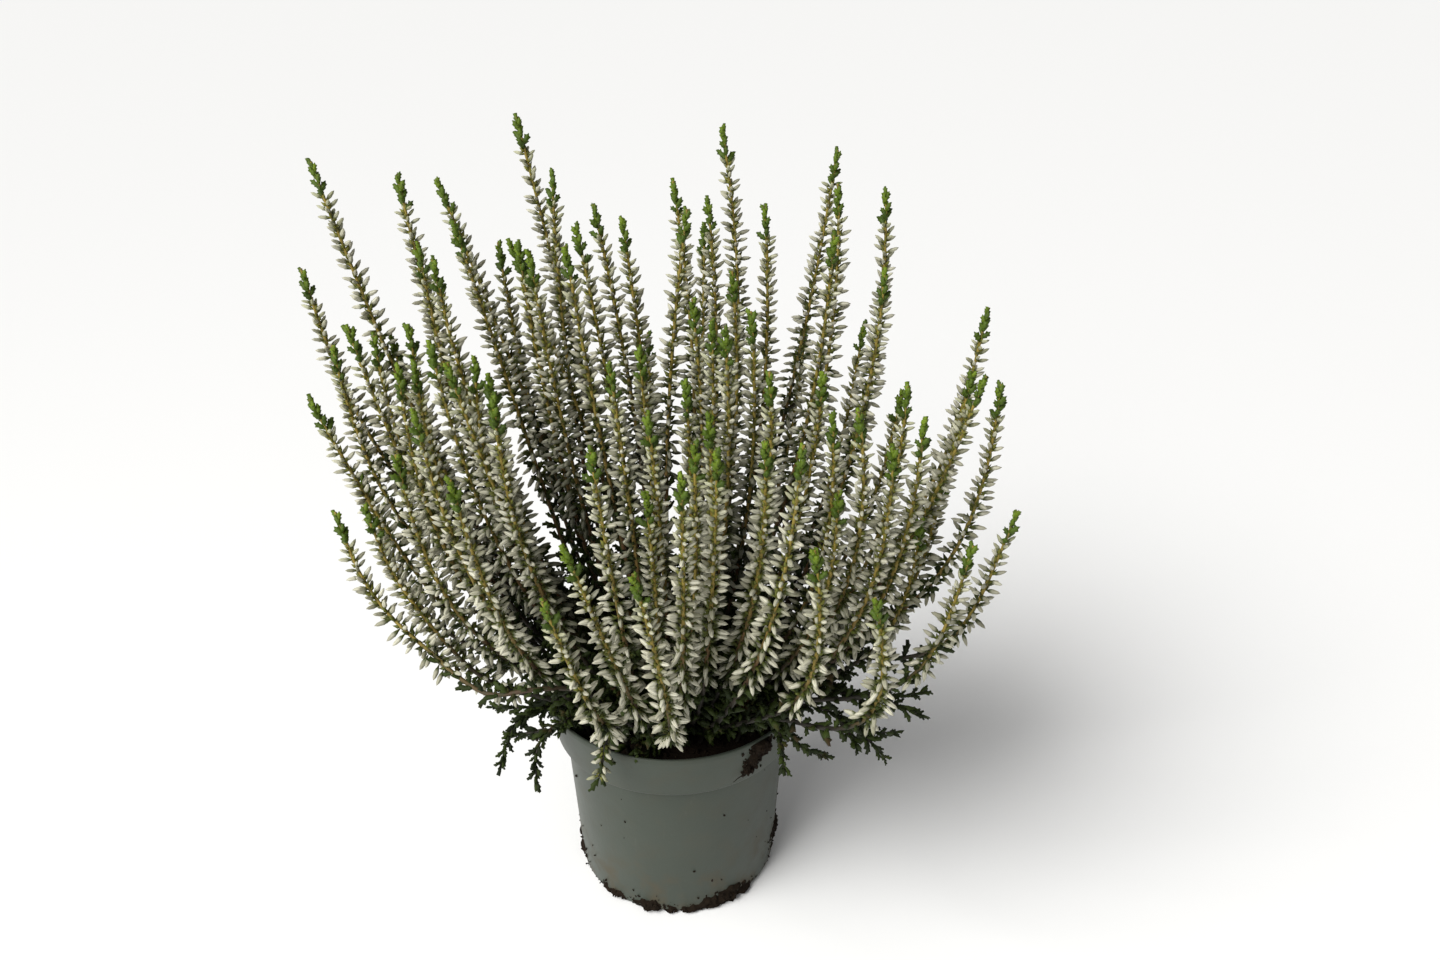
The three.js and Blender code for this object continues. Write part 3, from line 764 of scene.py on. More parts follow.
def spread_over(tree, value, low, high):
    """The value's way from low to high as a soft 0 to 1."""
    spots = {"Value": value, "From Min": low, "From Max": high}
    return add_node(tree, "ShaderNodeMapRange", spots, interpolation_type="SMOOTHSTEP")


def cloudy(tree, size, detail=3.0, where=None):
    """Soft noise whose blotches are about that size in metres."""
    where = where or add_node(tree, "ShaderNodeTexCoord", output="Object")
    spots = {"Vector": where, "Scale": 1 / size, "Detail": detail}
    return add_node(tree, "ShaderNodeTexNoise", spots)


def stored(tree, name):
    """A number that a tree stored on the mesh."""
    return add_node(tree, "ShaderNodeAttribute", output="Fac", attribute_name=name)


# Painted shade: this oval marks the heart of the plant, where buds and bracts are darkened in colour to
# stand in for the shade among the stems.
PLANT_OVAL = (0.150, 0.112, 0.230)
HEART_HEIGHT = 0.11
PAINTED_SHADE_FROM, PAINTED_SHADE_ALL = 0.74, 0.3


def painted_inner_shade(tree, most):
    """A share of painted shade: it reaches most in the heart of the plant and is 0 in its outer quarter.
    """
    oval = {"Scale": [1 / half for half in PLANT_OVAL], "Location": (0, 0, -HEART_HEIGHT / PLANT_OVAL[2])}
    oval["Vector"] = add_node(tree, "ShaderNodeTexCoord", output="Object")
    place = add_node(tree, "ShaderNodeMapping", oval)
    away = add_node(tree, "ShaderNodeVectorMath", {0: place}, "Value", operation="LENGTH")
    return maths(tree, "MULTIPLY", spread_over(tree, away, PAINTED_SHADE_FROM, PAINTED_SHADE_ALL), most)


def painted(tree, shader, colour, height, depth, strength=0.6):
    """Gives a finish its colour and presses a height pattern of that depth in metres into it."""
    tree.links.new(colour, shader["Base Color"])
    spots = {"Height": height, "Distance": depth, "Strength": strength}
    tree.links.new(add_node(tree, "ShaderNodeBump", spots), shader["Normal"])


# %% [markdown]
# The petals of a closed bud are folded over each other in four, greenish at their base and cream
# above, with a slightly brown point. On a bud the place on the bud itself matters most, so this
# finish reads the small UV map that every bud carries. A picture of petals would do too, but at 6 mm
# a few mixed colours can't be told from one. Buds differ: some are cream, some nearly grey.

# %% White buds
PETALS = 4
DULL_CREAM, BRIGHT_CREAM = (0.22, 0.215, 0.145), (0.60, 0.585, 0.465)
YOUNG_CREAM, FOLD_SHADE, VEIN_SHADE = (0.36, 0.38, 0.20), (0.20, 0.185, 0.11), (0.33, 0.30, 0.19)
POINT_BROWN, BASE_GREEN, BUD_PAINTED_SHADE = (0.40, 0.33, 0.19), (0.055, 0.07, 0.015), (0.040, 0.043, 0.020)
bud_white, tree, shader = new_finish("bud_white", 0.55)
shader["Subsurface Weight"].default_value = 0.06
shader["Subsurface Radius"].default_value = (1.0, 0.85, 0.6)
shader["Subsurface Scale"].default_value = 1.0 * MM
spot = add_node(tree, "ShaderNodeTexCoord", output="UV")
spot = add_node(tree, "ShaderNodeSeparateXYZ", {"Vector": spot}).node.outputs
round_bud, up_bud = spot["X"], spot["Y"]
fold = maths(tree, "SINE", maths(tree, "MULTIPLY", round_bud, math.pi * PETALS))
fold = maths(tree, "ABSOLUTE", fold)
petal = mixed(tree, DULL_CREAM, BRIGHT_CREAM, stored(tree, "tint"))
petal = mixed(tree, petal, YOUNG_CREAM, spread_over(tree, stored(tree, "share"), 0.75, 1.2))
shadow = maths(tree, "MULTIPLY", spread_over(tree, fold, 0.5, 0.0), 0.6)
petal = mixed(tree, petal, FOLD_SHADE, shadow)
vein = maths(tree, "MULTIPLY", spread_over(tree, cloudy(tree, 0.5 * MM), 0.5, 0.75), 0.3)
petal = mixed(tree, petal, VEIN_SHADE, vein)
petal = mixed(tree, petal, POINT_BROWN, spread_over(tree, up_bud, 0.9, 1.08))
petal = mixed(tree, BASE_GREEN, petal, spread_over(tree, up_bud, 0.12, 0.46))
# Painted shade: buds deep in the plant are darkened towards a near-black colour.
petal = mixed(tree, petal, BUD_PAINTED_SHADE, painted_inner_shade(tree, 0.92))
painted(tree, shader, petal, fold, 0.2 * MM)

# %% [markdown]
# Three greens cover the leaves. Bracts and scale leaves turn from dark green low on a stem to
# yellow-green near its tip, with brownish patches. The leafy tips are the freshest part, brightest at
# the very top. The old side shoots are nearly black-green, and here and there dead and brown.

# %% Bracts and scale leaves
BRACT_DARK, BRACT_LIGHT, BRACT_FRESH = (0.028, 0.038, 0.006), (0.090, 0.105, 0.015), (0.20, 0.195, 0.034)
BRACT_BROWN, BRACT_PAINTED_SHADE = (0.08, 0.042, 0.014), (0.009, 0.013, 0.003)
bract_green, tree, shader = new_finish("bract_green", 0.6, gloss=0.25)
green = mixed(tree, BRACT_DARK, BRACT_LIGHT, stored(tree, "tint"))
fresh = maths(tree, "MULTIPLY", spread_over(tree, stored(tree, "share"), 0.3, 0.95), 0.75)
green = mixed(tree, green, BRACT_FRESH, fresh)
green = mixed(tree, green, BRACT_BROWN, spread_over(tree, cloudy(tree, 9 * MM), 0.58, 0.85))
# Painted shade: bracts deep in the plant are darkened towards a near-black green.
green = mixed(tree, green, BRACT_PAINTED_SHADE, painted_inner_shade(tree, 0.9))
painted(tree, shader, green, cloudy(tree, 0.4 * MM), 0.1 * MM)

# %% Leafy tips
TIP_LOW, TIP_HIGH = (0.038, 0.066, 0.005), (0.145, 0.215, 0.011)
TIP_DULL, TIP_HOLLOW = (0.065, 0.108, 0.007), (0.025, 0.045, 0.004)
tip_green, tree, shader = new_finish("tip_green", 0.55, gloss=0.25)
green = mixed(tree, TIP_LOW, TIP_HIGH, spread_over(tree, stored(tree, "share"), 0.1, 1.0))
green = mixed(tree, green, TIP_DULL, stored(tree, "tint"))
green = mixed(tree, green, TIP_HOLLOW, spread_over(tree, cloudy(tree, 0.9 * MM), 0.5, 0.75))
painted(tree, shader, green, cloudy(tree, 0.5 * MM), 0.2 * MM)

# %% Old side shoots
OLD_DARK, OLD_LIGHT, OLD_DEAD = (0.007, 0.012, 0.002), (0.031, 0.048, 0.006), (0.060, 0.028, 0.010)
old_green, tree, shader = new_finish("old_green", 0.65, gloss=0.2)
green = mixed(tree, OLD_DARK, OLD_LIGHT, stored(tree, "tint"))
green = mixed(tree, green, OLD_DEAD, spread_over(tree, cloudy(tree, 12 * MM), 0.58, 0.8))
painted(tree, shader, green, cloudy(tree, 0.5 * MM), 0.2 * MM)

# %% [markdown]
# A heather stem starts as woody dark bark and ends as a yellow-green twig, with a reddish brown
# stretch between. The stored share drives that change. Low in the plant the bark is dark whatever
# the share, because a short shoot's stem is as old there as a long one's, so the height in object
# coordinates is read as well.

# %% Bark
BARK_OLD, BARK_RED, BARK_YOUNG = (0.020, 0.012, 0.007), (0.11, 0.052, 0.017), (0.27, 0.20, 0.034)
BARK_SPOTS, BARK_LOW = (0.055, 0.06, 0.012), (0.016, 0.013, 0.007)
BARK_LOW_FROM, BARK_LOW_ALL = 0.165, 0.125
stem_bark, tree, shader = new_finish("stem_bark", 0.7)
share = stored(tree, "share")
bark = mixed(tree, BARK_OLD, BARK_RED, spread_over(tree, share, 0.1, 0.5))
bark = mixed(tree, bark, BARK_YOUNG, spread_over(tree, share, 0.4, 0.75))
bark = mixed(tree, bark, BARK_SPOTS, spread_over(tree, cloudy(tree, 2 * MM), 0.45, 0.7))
spot = add_node(tree, "ShaderNodeTexCoord", output="Object")
height = add_node(tree, "ShaderNodeSeparateXYZ", {"Vector": spot}, "Z")
bark = mixed(tree, bark, BARK_LOW, spread_over(tree, height, BARK_LOW_FROM, BARK_LOW_ALL))
painted(tree, shader, bark, cloudy(tree, 0.6 * MM), 0.2 * MM)
print("finishes:", [m.name for m in (bud_white, bract_green, tip_green, old_green, stem_bark)])

# %% [markdown]
# The plant
#
# The smoothed lines become curve objects, one for each part of the plant, and the trees read those.
# They are only guides, so they are hidden and deleted at the end.


# %% Curves for the trees
def guide(name, lines):
    """A hidden curve object with one straight-sided spline for each line."""
    data = bpy.data.curves.new(name, "CURVE")
    data.dimensions = "3D"
    for line in lines:
        spline = data.splines.new("POLY")
        spline.points.add(len(line) - 1)
        spline.points.foreach_set("co", np.column_stack([line, np.ones(len(line))]).ravel())
    curves = bpy.data.objects.new(name, data)
    bpy.context.scene.collection.objects.link(curves)
    curves.hide_render = True
    return curves


def along(name, lines, part, material, seed, **sizes):
    """Sets a small part along lines with the tree for parts. Sizes are the tree's inputs by name."""
    values = {"Stems": guide(name + "_guide", lines), "Part": part, "Material": material, "Seed": seed}
    values.update({key.replace("_", " ").capitalize(): value for key, value in sizes.items()})
    return made_by(part_tree, name, values)


# %% [markdown]
# First the woody stems: one tube for each flowering shoot and each twig. They stand 10 mm deep in the
# soil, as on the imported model.

# %% Stems
values = {"Stems": guide("shoot_guide", whole_stems), "Material": stem_bark}
values.update({"Foot radius": 1.3 * MM, "Tip radius": 0.55 * MM, "Sides": 6, "Ring every": 5 * MM})
flower_stems = made_by(tube_tree, "flower_stems", values)
values = {"Stems": guide("twig_guide", twig_stems), "Material": stem_bark}
values.update({"Foot radius": 0.9 * MM, "Tip radius": 0.4 * MM, "Sides": 5, "Ring every": 4 * MM})
twig_bark = made_by(tube_tree, "twig_stems", values)

# %% [markdown]
# The buds are what makes this plant. On a real spike they stand in four rows, 4 to 5 mm apart in each
# row, pointing up near the top and drooping lower down, where short stalks carry them further out
# and the spike grows wider. The spikes are sorted from left to right into four pieces, so that each
# stays well under 200,000 triangles. Bracts use the same lines, sizes and seeds as the buds, so each
# set lands on its own bud.

# %% Buds and bracts
bud_sizes = dict(
    spacing=0.98 * MM,
    turn=math.pi,
    pair_turn=math.radians(96),
    turn_spread=0.42,
    foot_tilt=2.35,
    tip_tilt=0.98,
    tilt_spread=0.28,
    foot_reach=3.1 * MM,
    tip_reach=0.8 * MM,
    foot_size=0.98,
    tip_size=0.76,
    size_spread=0.14,
)
BANDS = {"left": (-1, -0.075), "middle": (-0.075, 0.0), "centre": (0.0, 0.064), "right": (0.064, 1)}
bud_pieces, bract_pieces = [], []
for number, (band, (low, high)) in enumerate(BANDS.items()):
    here = [line for line in spikes if low <= line[-1][0] < high]
    seed = 10 + 10 * number
    bud_pieces.append(along(f"white_buds_{band}", here, bud, bud_white, seed, **bud_sizes))
    bract_pieces.append(along(f"bud_bracts_{band}", here, bracts, bract_green, seed, **bud_sizes))

# %% [markdown]
# The tip of a shoot is a tuft of leafy fingers, bright green at the very top. Scale leaves cover the
# stem between the buds. Below the buds, the stems carry older, darker side fingers: these fill the
# heart of the plant, where little light gets in.

# %% Leafy tips and scale leaves
SPIRAL_TURN = math.radians(137.5)
tip_sizes = dict(
    spacing=1.4 * MM,
    turn=SPIRAL_TURN,
    pair_turn=0.0,
    foot_tilt=0.8,
    tip_tilt=0.3,
    tilt_spread=0.18,
    foot_reach=0.3 * MM,
    tip_reach=-0.3 * MM,
    foot_size=1.12,
    tip_size=0.95,
    size_spread=0.2,
)
leafy_tips = along("leafy_tips", tips, tip_finger, tip_green, 60, **tip_sizes)
leaf_sizes = dict(
    spacing=1.6 * MM,
    pair_turn=math.radians(93),
    foot_tilt=0.95,
    tip_tilt=0.6,
    foot_reach=0.5 * MM,
    tip_reach=0.3 * MM,
    foot_size=1.25,
    tip_size=0.95,
)
stem_leaves = along("stem_leaves", spikes, leaf, bract_green, 70, **leaf_sizes)

# %% [markdown]
# Round the crown, just above the lip, the plant is a dense dark moss of small leafy shoots. Most of
# them are side shoots of the old stems. The outer ones are drawn here as short arcs that grow outward
# from between the stems, some level and some drooping over the lip.

# %% Short shoots round the crown
CROWN_SHOOTS = 160
CROWN_START, CROWN_REACH = (28, 46), (14, 22)
CROWN_RISE, CROWN_DROOP = (2, 18), (0, 8)
CROWN_LOWEST, CROWN_DEPTH, CROWN_MOSTLY_LOW = 97, 46, 1.4
CROWN_SWING = 0.25
CROWN_PLACES = 8
dice = np.random.default_rng(5)


def crown_shoot(angle):
    """A short arc that starts among the stems and grows outward."""
    start, reach = dice.uniform(*CROWN_START), dice.uniform(*CROWN_REACH)
    rise, droop = dice.uniform(*CROWN_RISE), dice.uniform(*CROWN_DROOP)
    height = CROWN_LOWEST + CROWN_DEPTH * dice.uniform() ** CROWN_MOSTLY_LOW
    swing = dice.uniform(-CROWN_SWING, CROWN_SWING)
    line = []
    for t in np.linspace(0, 1, CROWN_PLACES):
        out, way = start + reach * t, angle + swing * t
        line.append((out * math.cos(way), out * math.sin(way), height + rise * t - droop * t * t))
    return np.array(line) * MM


CROWN_STEP = 2 * math.pi / CROWN_SHOOTS
crown_lines = [crown_shoot(CROWN_STEP * (i + dice.uniform())) for i in range(CROWN_SHOOTS)]

# %% Dark foliage below the buds
finger_sizes = dict(
    spacing=2.25 * MM,
    turn=SPIRAL_TURN,
    pair_turn=0.0,
    foot_tilt=1.1,
    tip_tilt=0.8,
    tilt_spread=0.3,
    foot_reach=0.8 * MM,
    tip_reach=0.3 * MM,
    foot_size=1.3,
    tip_size=1.0,
    size_spread=0.3,
)
heart_foliage = along("heart_foliage", bare_parts, side_finger, old_green, 80, **finger_sizes)
finger_sizes.update(spacing=1.2 * MM, foot_size=0.95, tip_size=0.75)
crown_foliage = along("crown_foliage", crown_lines, side_finger, old_green, 85, **finger_sizes)
finger_sizes.update(spacing=1.15 * MM, foot_tilt=0.95, tip_tilt=0.45, foot_size=1.05, tip_size=0.8)
twig_foliage = along("twig_foliage", leafy_parts, side_finger, old_green, 90, **finger_sizes)

# %% [markdown]
# The pot
#
# A thin moulded plastic pot, 12 cm across its lip: a tapered wall, a tall collar that stands out over
# it, and a rounded foot. Its profile is one closed outline, turned round the middle. The Screw
# modifier would do the same; spinning the outline in code keeps the mesh free of a seam. Small arcs
# at the corners catch the light the way moulded edges do. The drain holes are cut with a Boolean.

# %% Outline with rounded corners
LIP_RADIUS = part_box("pot")[1].x / MM
POT_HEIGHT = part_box("pot")[1].z / MM
COLLAR_HEIGHT = 22.7
LEDGE = POT_HEIGHT - COLLAR_HEIGHT
FOOT_RADIUS = 47.4
WALL_TOP_RADIUS = 52.0
COLLAR_RADIUS = 56.2
WALL = 1.2
BOTTOM = 1.6
LIP_BAND = 2.2
FOOT_ROUNDING = 2.6
ARC_STEPS = 5


def rounded(outline):
    """Places of an outline whose corners, given as (r, z, rounding), are turned into small arcs."""
    places = [outline[0][:2]]
    for before, here, after in zip(outline, outline[1:], outline[2:]):
        corner = np.array(here[:2], float)
        arms = []
        for other in (before, after):
            way = np.array(other[:2], float) - corner
            length = np.linalg.norm(way)
            arms.append(corner + way / length * min(here[2], 0.45 * length))
        for t in np.linspace(0, 1, ARC_STEPS if here[2] > 0 else 1):
            bend = (1 - t) ** 2 * arms[0] + 2 * t * (1 - t) * corner + t**2 * arms[1]
            places.append(tuple(bend))
    return places + [outline[-1][:2]]


def turned_body(name, profile, steps):
    """A closed body from a profile (r, z) in mm that starts and ends on the axis."""
    bm = bmesh.new()
    verts = [bm.verts.new((r * MM, 0, z * MM)) for r, z in profile]
    edges = [bm.edges.new(pair) for pair in zip(verts, verts[1:])]
    around = {"cent": (0, 0, 0), "axis": (0, 0, 1), "angle": 2 * math.pi, "steps": steps}
    bmesh.ops.spin(bm, geom=verts + edges, use_merge=True, **around)
    bmesh.ops.remove_doubles(bm, verts=bm.verts, dist=SAME_PLACE)
    bmesh.ops.dissolve_degenerate(bm, edges=bm.edges, dist=SAME_PLACE / 10)
    bmesh.ops.recalc_face_normals(bm, faces=bm.faces)
    for face in bm.faces:
        face.smooth = True
    return built_object(name, bm)


outer = [
    (0, 0, 0),
    (FOOT_RADIUS, 0, FOOT_ROUNDING),
    (WALL_TOP_RADIUS, LEDGE, 0.8),
    (COLLAR_RADIUS, LEDGE, 1.2),
    (LIP_RADIUS, POT_HEIGHT - LIP_BAND, 0.6),
    (LIP_RADIUS, POT_HEIGHT, 0.8),
]
inner = [
    (LIP_RADIUS - 1.5, POT_HEIGHT, 0.7),
    (LIP_RADIUS - 1.6, POT_HEIGHT - 3, 0.6),
    (COLLAR_RADIUS - 1.1, LEDGE + WALL, 1.2),
    (WALL_TOP_RADIUS - WALL, LEDGE + WALL, 0.8),
    (FOOT_RADIUS - WALL, BOTTOM, FOOT_ROUNDING),
    (0, BOTTOM, 0),
]
POT_STEPS = 128
uncut = turned_body("uncut_pot", rounded(outer + inner), POT_STEPS)
print("pot before its holes:", len(uncut.data.polygons), "faces")


# %% Drain holes
HOLES = 6
HOLE_RADIUS = 4 * MM
HOLES_CIRCLE = 34 * MM


def holes_cutter():
    """Upright cylinders on a circle, to be cut out of the pot's bottom."""
    bm = bmesh.new()
    cylinder = {"cap_ends": True, "segments": 24, "depth": 0.02}
    cylinder.update(radius1=HOLE_RADIUS, radius2=HOLE_RADIUS)
    for i in range(HOLES):
        angle = 2 * math.pi * i / HOLES
        made = bmesh.ops.create_cone(bm, **cylinder)
        move = (HOLES_CIRCLE * math.cos(angle), HOLES_CIRCLE * math.sin(angle), 0)
        bmesh.ops.translate(bm, vec=move, verts=made["verts"])
    return built_object("drain_holes", bm)


cutter = holes_cutter()
cut_out = uncut.modifiers.new("holes", "BOOLEAN")
cut_out.object = cutter
cut_out.solver = "EXACT"
scene_now = bpy.context.evaluated_depsgraph_get()
pot_mesh = bpy.data.meshes.new_from_object(uncut.evaluated_get(scene_now), depsgraph=scene_now)
bpy.data.objects.remove(uncut)
bpy.data.objects.remove(cutter)
pot_mesh.name = "nursery_pot"
nursery_pot = plain_object("nursery_pot", pot_mesh)
pot_mesh.calc_loop_triangles()
print("pot with holes:", len(pot_mesh.loop_triangles), "triangles")

# %% [markdown]
# The plastic is a dull grey-green with a fine moulded grain. Handling has left faint scuffs round it,
# and watering has left brownish dust, thickest near the foot: a factor from height and noise mixes
# the dust's colour in and takes the gloss away.

# %% Pot plastic
PLASTIC_DARK, PLASTIC_LIGHT = (0.048, 0.058, 0.045), (0.062, 0.073, 0.058)
DUST_BROWN, SCUFF_GREY, SPECK_BROWN = (0.095, 0.075, 0.046), (0.105, 0.115, 0.098), (0.05, 0.04, 0.03)
CLEAN_ROUGHNESS, DUSTY_ROUGHNESS = 0.42, 0.75
DUST_TOP = 0.045
pot_plastic, tree, shader = new_finish("pot_plastic", CLEAN_ROUGHNESS, gloss=0.2)
spot = add_node(tree, "ShaderNodeTexCoord", output="Object")
height = add_node(tree, "ShaderNodeSeparateXYZ", {"Vector": spot}, "Z")
plastic = mixed(tree, PLASTIC_DARK, PLASTIC_LIGHT, cloudy(tree, 30 * MM))
low = spread_over(tree, height, DUST_TOP, 0.0)
patches = spread_over(tree, cloudy(tree, 11 * MM, 6.0), 0.42, 0.72)
dust = maths(tree, "MULTIPLY", maths(tree, "ADD", maths(tree, "MULTIPLY", low, 0.6), 0.12), patches)
plastic = mixed(tree, plastic, DUST_BROWN, dust)
stretch = add_node(tree, "ShaderNodeMapping", {"Vector": spot, "Scale": (1, 1, 0.12)})
scuffs = spread_over(tree, cloudy(tree, 1.2 * MM, 4.0, stretch), 0.62, 0.8)
plastic = mixed(tree, plastic, SCUFF_GREY, maths(tree, "MULTIPLY", scuffs, 0.25))
specks = spread_over(tree, cloudy(tree, 1.6 * MM, 2.0), 0.72, 0.78)
plastic = mixed(tree, plastic, SPECK_BROWN, maths(tree, "MULTIPLY", specks, 0.5))
worn = maths(tree, "ADD", dust, maths(tree, "MULTIPLY", scuffs, 0.4))
tree.links.new(between(tree, CLEAN_ROUGHNESS, DUSTY_ROUGHNESS, worn), shader["Roughness"])
grain = maths(tree, "MULTIPLY_ADD", cloudy(tree, 0.7 * MM), 0.35, cloudy(tree, 9 * MM))
painted(tree, shader, plastic, grain, 0.25 * MM, 0.5)
pot_mesh.materials.clear()
pot_mesh.materials.append(pot_plastic)

# %% [markdown]
# Soil and dirt
#
# The soil is a turned body that fills the pot, with its top pushed up and down by noise. On it lie
# loose crumbs, one coarse shape set on points by a third tree.

# %% Soil
SOIL_TOP = 92.0
SOIL_TOP_RADIUS = 56
SOIL_CROWN = 0.6
SOIL_FALL = 1 / 50
SOIL_CIRCLES = 30
SOIL_STEPS = 110


def soil_height(x, y):
    """Height of the soil in mm at a place in mm: a little lower towards the pot, rough all over."""
    rough = noise.noise(Vector((x, y, 0)) / 14) * 1.6 + noise.noise(Vector((x, y, 5)) / 4) * 0.9
    return SOIL_TOP + SOIL_CROWN - math.hypot(x, y) * SOIL_FALL + rough


profile = [(0, 2.2), (44, 2.2), (45.6, 5), (50.2, LEDGE + 1), (54.3, LEDGE + 2), (56.4, SOIL_TOP - 2)]
profile += [(r, SOIL_TOP) for r in np.linspace(SOIL_TOP_RADIUS, 0, SOIL_CIRCLES)]
potting_soil = turned_body("potting_soil", profile, SOIL_STEPS)
for vert in potting_soil.data.vertices:
    if vert.co.z > (SOIL_TOP - 1) * MM:
        vert.co.z = soil_height(vert.co.x / MM, vert.co.y / MM) * MM
print("soil:", len(potting_soil.data.polygons), "faces")

# %% [markdown]
# Peat is nearly black while it is moist, quite without gloss, and full of short brown fibres. Noise
# at two sizes gives the blotches and the fibres, and a strong bump breaks up the light.

# %% Peat
PEAT_BLACK, PEAT_BROWN, FIBRE_BROWN = (0.005, 0.004, 0.003), (0.024, 0.016, 0.010), (0.10, 0.06, 0.03)
peat_brown, tree, shader = new_finish("peat_brown", 0.95, gloss=0.08)
peat = mixed(tree, PEAT_BLACK, PEAT_BROWN, cloudy(tree, 3 * MM, 6.0))
fibre = spread_over(tree, cloudy(tree, 1.1 * MM), 0.66, 0.74)
peat = mixed(tree, peat, FIBRE_BROWN, maths(tree, "MULTIPLY", fibre, 0.4))
painted(tree, shader, peat, cloudy(tree, 1.2 * MM, 6.0), 0.8 * MM, 0.9)
potting_soil.data.materials.append(peat_brown)
print("finish:", peat_brown.name)

# %% [markdown]
# Tree 3: crumbs on points
#
# Crumbs lie at any angle, and small ones are far more common than big ones: a random number between
# 0 and 1 is raised to a power before it is used as a size. The points come in as the vertices of the
# host mesh, so the same tree serves the soil, the foot of the pot and the clump.

# %% Crumb tree
FEW_BIG = 2.5
crumb_inputs = [
    ("Crumb", "Object", None),
    ("Least size", "Float", 0.3),
    ("Greatest size", "Float", 1.2),
    ("Seed", "Int", 1),
    ("Material", "Material", None),
]
crumb_tree, given, result = new_tree("crumbs_on_points", crumb_inputs)
size_share = random_number(crumb_tree, 0.0, 1.0, given["Seed"])
size_share = maths(crumb_tree, "POWER", size_share, FEW_BIG)
size = between(crumb_tree, given["Least size"], given["Greatest size"], size_share)
spots = {"Min": (-math.pi,) * 3, "Max": (math.pi,) * 3, "Seed": given["Seed"]}
way = add_node(crumb_tree, "FunctionNodeRandomValue", spots, "Value", data_type="FLOAT_VECTOR")
spots = {"Points": given["Geometry"], "Rotation": way, "Scale": size}
spots["Instance"] = shape_of(crumb_tree, given["Crumb"])
hand_out(crumb_tree, add_node(crumb_tree, "GeometryNodeInstanceOnPoints", spots), given, result)
print("crumb tree has", len(crumb_tree.nodes), "nodes")


def crumbs_at(name, places, seed, least, greatest):
    """Crumbs of soil at places in mm."""
    mesh = bpy.data.meshes.new(name + "_points")
    mesh.from_pydata([tuple(c * MM for c in place) for place in places], [], [])
    host = plain_object(name + "_points", mesh)
    values = {"Crumb": crumb, "Least size": least, "Greatest size": greatest}
    values.update({"Seed": seed, "Material": peat_brown})
    return made_by(crumb_tree, name, values, host)


# %% [markdown]
# Wet soil has dried on the pot in smears: a ragged band along the foot, thickest at the front right,
# and one clump that hangs from the lip at the right. Each is a thin skin over the pot's outer wall.
# Where its thickness, a sum of a few soft hills and noise, falls below zero, the skin lies hidden in
# the wall, so only ragged islands show. Single crumbs alone would look like beads.


# %% Thickness of the dried soil
WALL_SIDE = np.array([place for place in rounded(outer + inner[:1]) if place[0] > 40])
SMEAR_ROUGHNESS = [(1.9, 3.4), (1.1, 1.4), (0.5, 0.6)]
HIDDEN_BY = 0.4


def on_pot(angle, height, out):
    """A place that far out of the pot's outer wall, in mm."""
    radius = float(np.interp(height, WALL_SIDE[:, 1], WALL_SIDE[:, 0])) + out
    return (radius * math.cos(angle), radius * math.sin(angle), height)


def smeared(angle, height, smears):
    """Thickness in mm of the soil skin: hills (angle, half width, height, half height, thickness)."""
    hills = []
    for middle, wide, level, tall, thick in smears:
        off = (math.degrees(angle) - middle + 180) % 360 - 180
        hills.append(thick * (1 - (off / wide) ** 2 - ((height - level) / tall) ** 2))
    spot = Vector(on_pot(angle, height, 0))
    rough = sum(depth * noise.noise(spot / size) for depth, size in SMEAR_ROUGHNESS)
    thickest = 1.3 * max(thick for *_, thick in smears)
    return max(-HIDDEN_BY, min(max(hills), thickest) + rough - HIDDEN_BY)


# %% Skin of dried soil
INSIDE_WALL = -0.5


def soil_skin(name, angles, heights, smears, closed):
    """A closed body over part of the pot's wall: an outer grid pushed out, an inner one in the wall."""
    bm = bmesh.new()
    outside = [[smeared(angle, height, smears) for angle in angles] for height in heights]
    inside = [[INSIDE_WALL] * len(angles)] * 2
    borders = []
    for levels, outs, way in ((heights, outside, 1), (heights[:: len(heights) - 1], inside, -1)):
        rows = []
        for height, row in zip(levels, outs):
            places = [on_pot(angle, height, out) for angle, out in zip(angles, row)]
            rows.append([bm.verts.new(Vector(place) * MM) for place in places])
        columns = len(angles)
        for low, high in zip(rows, rows[1:]):
            for i in range(columns if closed else columns - 1):
                j = (i + 1) % columns
                bm.faces.new([low[i], low[j], high[j], high[i]][::way])
        borders.append((set(rows[0]), set(rows[-1])))
    border = [e for e in bm.edges if e.is_boundary]
    if closed:
        for ends in [outer_end | inner_end for outer_end, inner_end in zip(*borders)]:
            bmesh.ops.bridge_loops(bm, edges=[e for e in border if set(e.verts) <= ends])
    else:
        bmesh.ops.bridge_loops(bm, edges=border)
    bmesh.ops.triangulate(bm, faces=bm.faces)
    bmesh.ops.recalc_face_normals(bm, faces=bm.faces)
    for face in bm.faces:
        face.smooth = True
    skin = built_object(name, bm)
    skin.data.materials.append(peat_brown)
    print(f"{name}: {len(skin.data.polygons)} triangles")
    return skin


FOOT_SMEARS = [
    (-60, 21, 1.5, 7.5, 2.3),
    (-88, 16, 0.5, 3.0, 1.5),
    (-105, 10, 1.5, 5.5, 2.0),
    (-131, 11, 1.5, 4.4, 1.6),
    (-172, 15, 6, 10, 0.8),
    (-8, 10, 14, 10, 1.1),
    (40, 16, 1, 3.5, 1.4),
    (98, 20, 1, 4.5, 1.7),
    (145, 12, 2, 4, 1.3),
]
FOOT_COLUMNS = 420
foot_angles = [2 * math.pi * i / FOOT_COLUMNS for i in range(FOOT_COLUMNS)]
foot_heights = np.linspace(0.35, 24, 26)
foot_dirt = soil_skin("foot_dirt", foot_angles, foot_heights, FOOT_SMEARS, closed=True)

